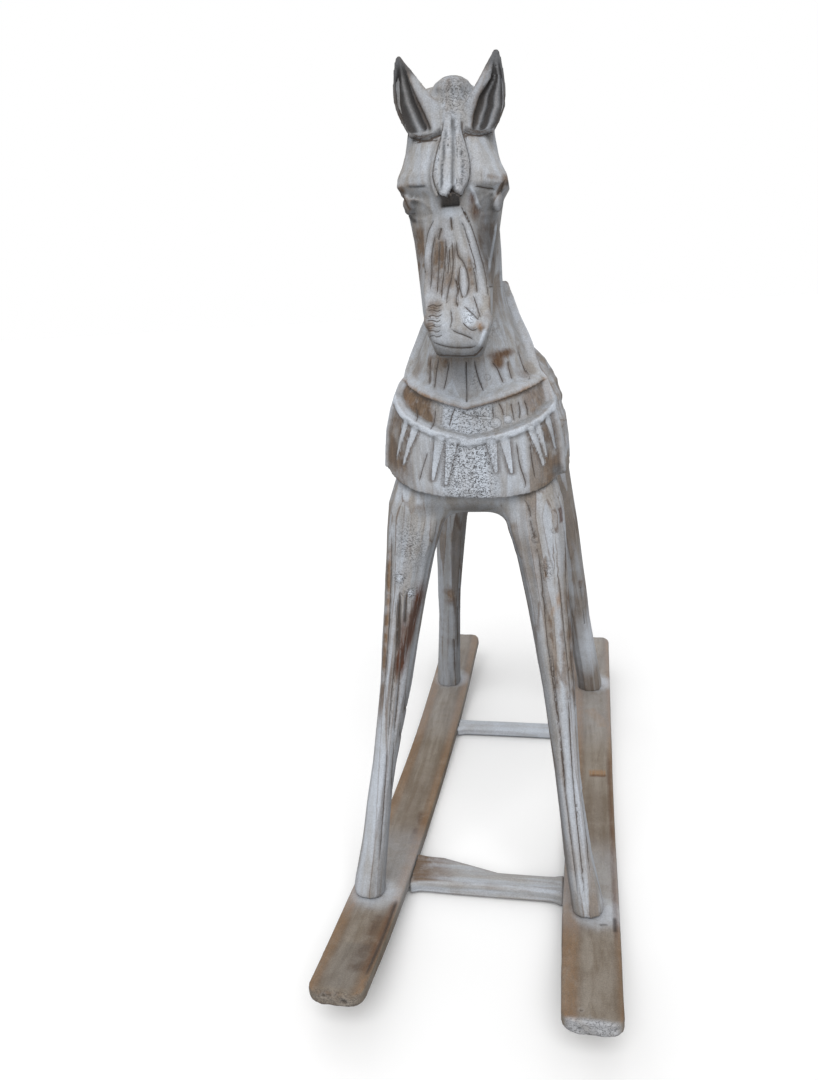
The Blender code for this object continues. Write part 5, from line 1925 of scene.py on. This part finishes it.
@dataclass
class Rail(Timber):
    """A crossbar between the boards, whose top may be chopped to a wedge."""

    pale: float
    wedge_x: Pair = (-0.095, -0.040)
    wedge_z: Pair = (FAR, FAR)

    def age(self, sculpt: Sculpt) -> None:
        """Whitens the rail, paints shade on its downward faces and bares its chopped top."""
        x, _, z = sculpt.points.T
        up = sculpt.normals[:, 2]
        sculpt.paint((PALE, np.full(len(z), self.pale)), (SOOT_AND_SHADE, ease(-0.2, -0.9, up) * 0.35))
        line = np.interp(x, self.wedge_x, self.wedge_z)
        chopped = ease(0.1, 0.6, up) * ease(line - 0.002, line + 0.002, z)
        sculpt.masks[PALE] *= 1 - chopped
        sculpt.paint((BARE, chopped), (OCHRE, chopped * 0.4), (SOOT_AND_SHADE, chopped * 0.3))


RAILS = (
    Rail("crossbar_front", "front_rail", 0.1, (-0.098, -0.010), (0.0185, 0.0235)),
    Rail("crossbar_rear", "rear_rail", 0.5),
)


@dataclass
class Board(Timber):
    """A curved board that the horse rocks on."""

    side: int
    middle: float
    end_pale: float
    rear_pale: float
    chips: tuple[tuple[float, ...], ...]
    marks: tuple[tuple[Mask, tuple[Point, ...], float, float], ...]

    VOXEL = 0.0018
    MOST_TRIANGLES = 60000
    GRAIN = (0, 2, 1)
    SLOT = Slot.BOARD
    END_Y = (-0.474, -0.482)
    FEET_Y = (-0.292, 0.322)
    FOOT_REACH = (0.045, 0.018)
    RAIL_Y = -0.235
    MARK_DEPTH = 0.0002
    SEEN_FROM_ABOVE = (1.0, 1.0, 0.1)

    def gouging(self) -> Gouging:
        """The gouge marks on it."""
        return Gouging("zone_board", Way.ALONG, 0.022, 0.50, 0.0004, 4.6 + self.side, 0.3, 0.5, 0.15)

    def wash(self, patches: tuple[Gouging, ...]) -> Whitewash:
        """The look of its surface."""
        return Whitewash(
            "worn_" + self.name, patches, paint=(0.280, 0.245, 0.205), thin_paint=(0.195, 0.158, 0.120),
            wood=(0.150, 0.105, 0.072),
        )

    def chip(self, sculpt: Sculpt) -> None:
        """Knocks small chips off the front end."""
        for *place_mm, radius, depth in self.chips:
            away = np.linalg.norm(sculpt.points - np.array(place_mm) * MM, axis=1) / MM
            sculpt.push(-MM * depth * ease(radius, radius * 0.2, away))
            sculpt.mark(DARK, 0.3 * ease(radius * 0.7, radius * 0.3, away))
            ring = ease(radius * 1.3, radius * 0.9, away) * ease(radius * 0.5, radius * 0.8, away)
            sculpt.mark(PALE, 0.08 * ring)
        sculpt.refresh()

    def age(self, sculpt: Sculpt) -> None:
        """Wears the edges and whitens what lies near the feet and on the front end."""
        x, y, _ = sculpt.points.T
        up = sculpt.normals[:, 2]
        across = np.abs(x - self.middle)
        top = ease(0.3, 0.8, up)
        end = ease(*self.END_Y, y)
        feet = [ease(*self.FOOT_REACH, np.hypot(across, y - foot_y)) for foot_y in self.FEET_Y]
        sculpt.paint(
            (BARE, 0.55 * ease(0.010, 0.024, across) * top),
            (OCHRE, 0.55 * ease(0.016, 0.026, across) * top),
            (BARE, 0.3 * ease(0.02, -0.02, y) * ease(-0.22, -0.17, y)),
            # Painted shade on the faces turned away from above.
            (SOOT_AND_SHADE, 0.35 * ease(0.2, -0.4, up)),
            (PALE, end * self.end_pale),
            (CRACKLE, end * 0.6),
            (PALE, self.rear_pale * ease(0.08, 0.20, y)),
            *((PALE, 0.62 * foot) for foot in feet),
            (PALE, 0.25 * ease(0.12, 0.05, np.abs(y - self.RAIL_Y))),
        )
        for mask, path, half, amount in self.marks:
            line = spline([np.array(p) * MM for p in path], 4)
            sculpt.groove(line, half * MM, self.MARK_DEPTH, mask, amount, 0.1, self.SEEN_FROM_ABOVE)


BOARDS = (
    Board(
        "rocker_right", "right_board", -1, -0.130, 0.0, 0.12,
        ((-118, -483, 50, 5.0, 1.6), (-140, -483, 56, 4.0, 1.2), (-128, -484, 60, 3.0, 1.0)),
        (
            (DARK, ((-102.5, -300, 33), (-102, -345, 39), (-102, -385, 45), (-103, -430, 52), (-104, -455, 56)),
             2.6, 0.8),
            (STAIN, ((-104, -300, 33), (-104, -385, 45), (-106, -450, 55)), 6.0, 0.5),
            (BARE, ((-112, -330, 36), (-114, -390, 45), (-116, -450, 55)), 17.0, 0.8),
            (BARE, ((-108, -80, 18), (-108, -150, 21), (-108, -210, 26)), 14.0, 0.9),
            (SOOT_AND_SHADE, ((-126, -390, 46), (-128, -430, 52), (-130, -478, 56)), 26.0, 0.26),
        ),
    ),
    Board(
        "rocker_left", "left_board", 1, 0.139, 0.5, 0.18,
        ((122, -466, 57, 3.2, 1.0), (121, -483, 50, 4.5, 1.6), (127, -484, 46, 3.0, 1.2), (156, -482, 52, 3.5, 1.2)),
        (
            (OCHRE, ((128, 40, 16), (143, 41, 16), (156, 42, 16)), 13.0, 1.0),
            (STAIN, ((129, 33, 16), (143, 34, 16), (157, 35, 16)), 5.0, 0.6),
            (OCHRE, ((126, 236, 27), (148, 200, 24), (154, 175, 22)), 14.0, 0.45),
            (DARK, ((141, -317, 36), (146, -316, 36), (151, -316, 36)), 2.6, 0.7),
            (DARK, ((159, -330, 37), (159, -300, 34)), 3.0, 0.8),
            (STAIN, ((160, 110, 19), (160, -20, 17), (160, -160, 21), (160, -360, 41)), 4.0, 0.45),
        ),
    ),
)


@dataclass(frozen=True)
class Sun:
    """A soft lamp: where its light comes from, its strength and how wide it looks, in degrees."""

    name: str
    way: Point
    strength: float
    spread: float

    def hang(self) -> None:
        """Puts the lamp into the scene."""
        lamp = bpy.data.lights.new(self.name, "SUN")
        lamp.energy = self.strength
        lamp.angle = radians(self.spread)
        made = bpy.data.objects.new(self.name, lamp)
        bpy.context.scene.collection.objects.link(made)
        made.rotation_euler = (-Vector(self.way)).to_track_quat("-Z", "Y").to_euler()


@dataclass
class Studio:
    """The pale floor, the soft lights and the camera."""

    floor_half: float = 30.0
    floor_drop: float = 0.0005
    floor_color: Color = (0.46, 0.46, 0.46)
    floor_seen: Color = (0.98, 0.98, 0.98)
    room_light: float = 0.52
    suns: tuple[Sun, ...] = (
        Sun("key_light", (0.08, -0.72, 0.70), 2.25, 50.0),
        Sun("back_light", (-0.30, 0.80, 0.55), 0.6, 70.0),
    )
    camera_place: Point = (0.1323, -1.1611, 0.7472)
    yaw: float = 12.5384
    pitch: float = 15.9335
    roll: float = 3.6273
    lens: float = 28.348
    sensor: float = 36.0
    nearest: float = 0.01

    def build(self) -> None:
        """Sets the stage."""
        self.floor()
        self.lights()
        self.camera()

    def floor(self) -> None:
        """Lays a wide plain floor, which the camera sees paler than the light does."""
        made = bmesh.new()
        bmesh.ops.create_grid(made, x_segments=1, y_segments=1, size=self.floor_half)
        mesh = bpy.data.meshes.new("floor")
        made.to_mesh(mesh)
        made.free()
        floor = object_of(mesh, "floor")
        floor.location.z = -self.floor_drop
        plaster = bpy.data.materials.new("pale_floor")
        plaster.use_nodes = True
        shader = plaster.node_tree.nodes["Principled BSDF"]
        bench = Bench(plaster.node_tree)
        seen = bench.node("ShaderNodeLightPath").outputs["Is Camera Ray"]
        color = bench.color(seen, self.floor_color, self.floor_seen)
        for name, value in (("Base Color", color), ("Roughness", 0.9), ("Specular IOR Level", 0.1)):
            bench.feed(shader.inputs[name], value)
        mesh.materials.append(plaster)

    def lights(self) -> None:
        """Hangs the lamps and lights the room."""
        for sun in self.suns:
            sun.hang()
        world = bpy.data.worlds.new("pale_room")
        world.use_nodes = True
        bench = Bench(world.node_tree)
        seen = bench.node("ShaderNodeLightPath").outputs["Is Camera Ray"]
        back = world.node_tree.nodes["Background"]
        back.inputs["Color"].default_value = (1.0, 1.0, 1.0, 1.0)
        bench.feed(back.inputs["Strength"], bench.blend(seen, self.room_light, 1.0))
        bpy.context.scene.world = world
        bpy.context.scene.view_settings.view_transform = "Standard"

    def camera(self) -> None:
        """Stands the camera in front of the horse, a little to its left and turned."""
        yaw, pitch, roll = (radians(a) for a in (self.yaw, self.pitch, self.roll))
        ahead = Vector((-sin(yaw) * cos(pitch), cos(yaw) * cos(pitch), -sin(pitch)))
        right = Vector((cos(yaw), sin(yaw), 0.0))
        down = ahead.cross(right)
        turned = cos(roll) * right + sin(roll) * down
        lower = -sin(roll) * right + cos(roll) * down
        lens = bpy.data.cameras.new("camera")
        lens.sensor_fit = "VERTICAL"
        lens.sensor_height = self.sensor
        lens.lens = self.lens
        lens.clip_start = self.nearest
        made = bpy.data.objects.new("camera", lens)
        bpy.context.scene.collection.objects.link(made)
        columns = Matrix((turned, -lower, -ahead)).transposed().to_4x4()
        made.matrix_world = Matrix.Translation(self.camera_place) @ columns
        bpy.context.scene.camera = made


def place(piece: Object, node: str, slot: Slot) -> None:
    """Hands a finished piece to the frame and reports it.

    Args:
        piece: The piece.
        node: The node that it stands for.
        slot: The record's finish; not used.
    """
    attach(piece, "root")
    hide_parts(node)
    LOG.info("%s stands for %s with %d triangles", piece.name, node, len(piece.data.polygons))


def main() -> None:
    """Builds the pieces and the stage, and notes how large they are."""
    logging.basicConfig(level=logging.INFO, format="%(name)s: %(message)s")
    trees = CarvingTrees()
    effects = Effects()
    place(Horse().build(trees, effects), "horse", Slot.PAINTED)
    for timber in (*RAILS, *BOARDS):
        place(timber.build(trees, effects), timber.node, timber.SLOT)
    Studio().build()


if __name__ == "__main__":
    main()
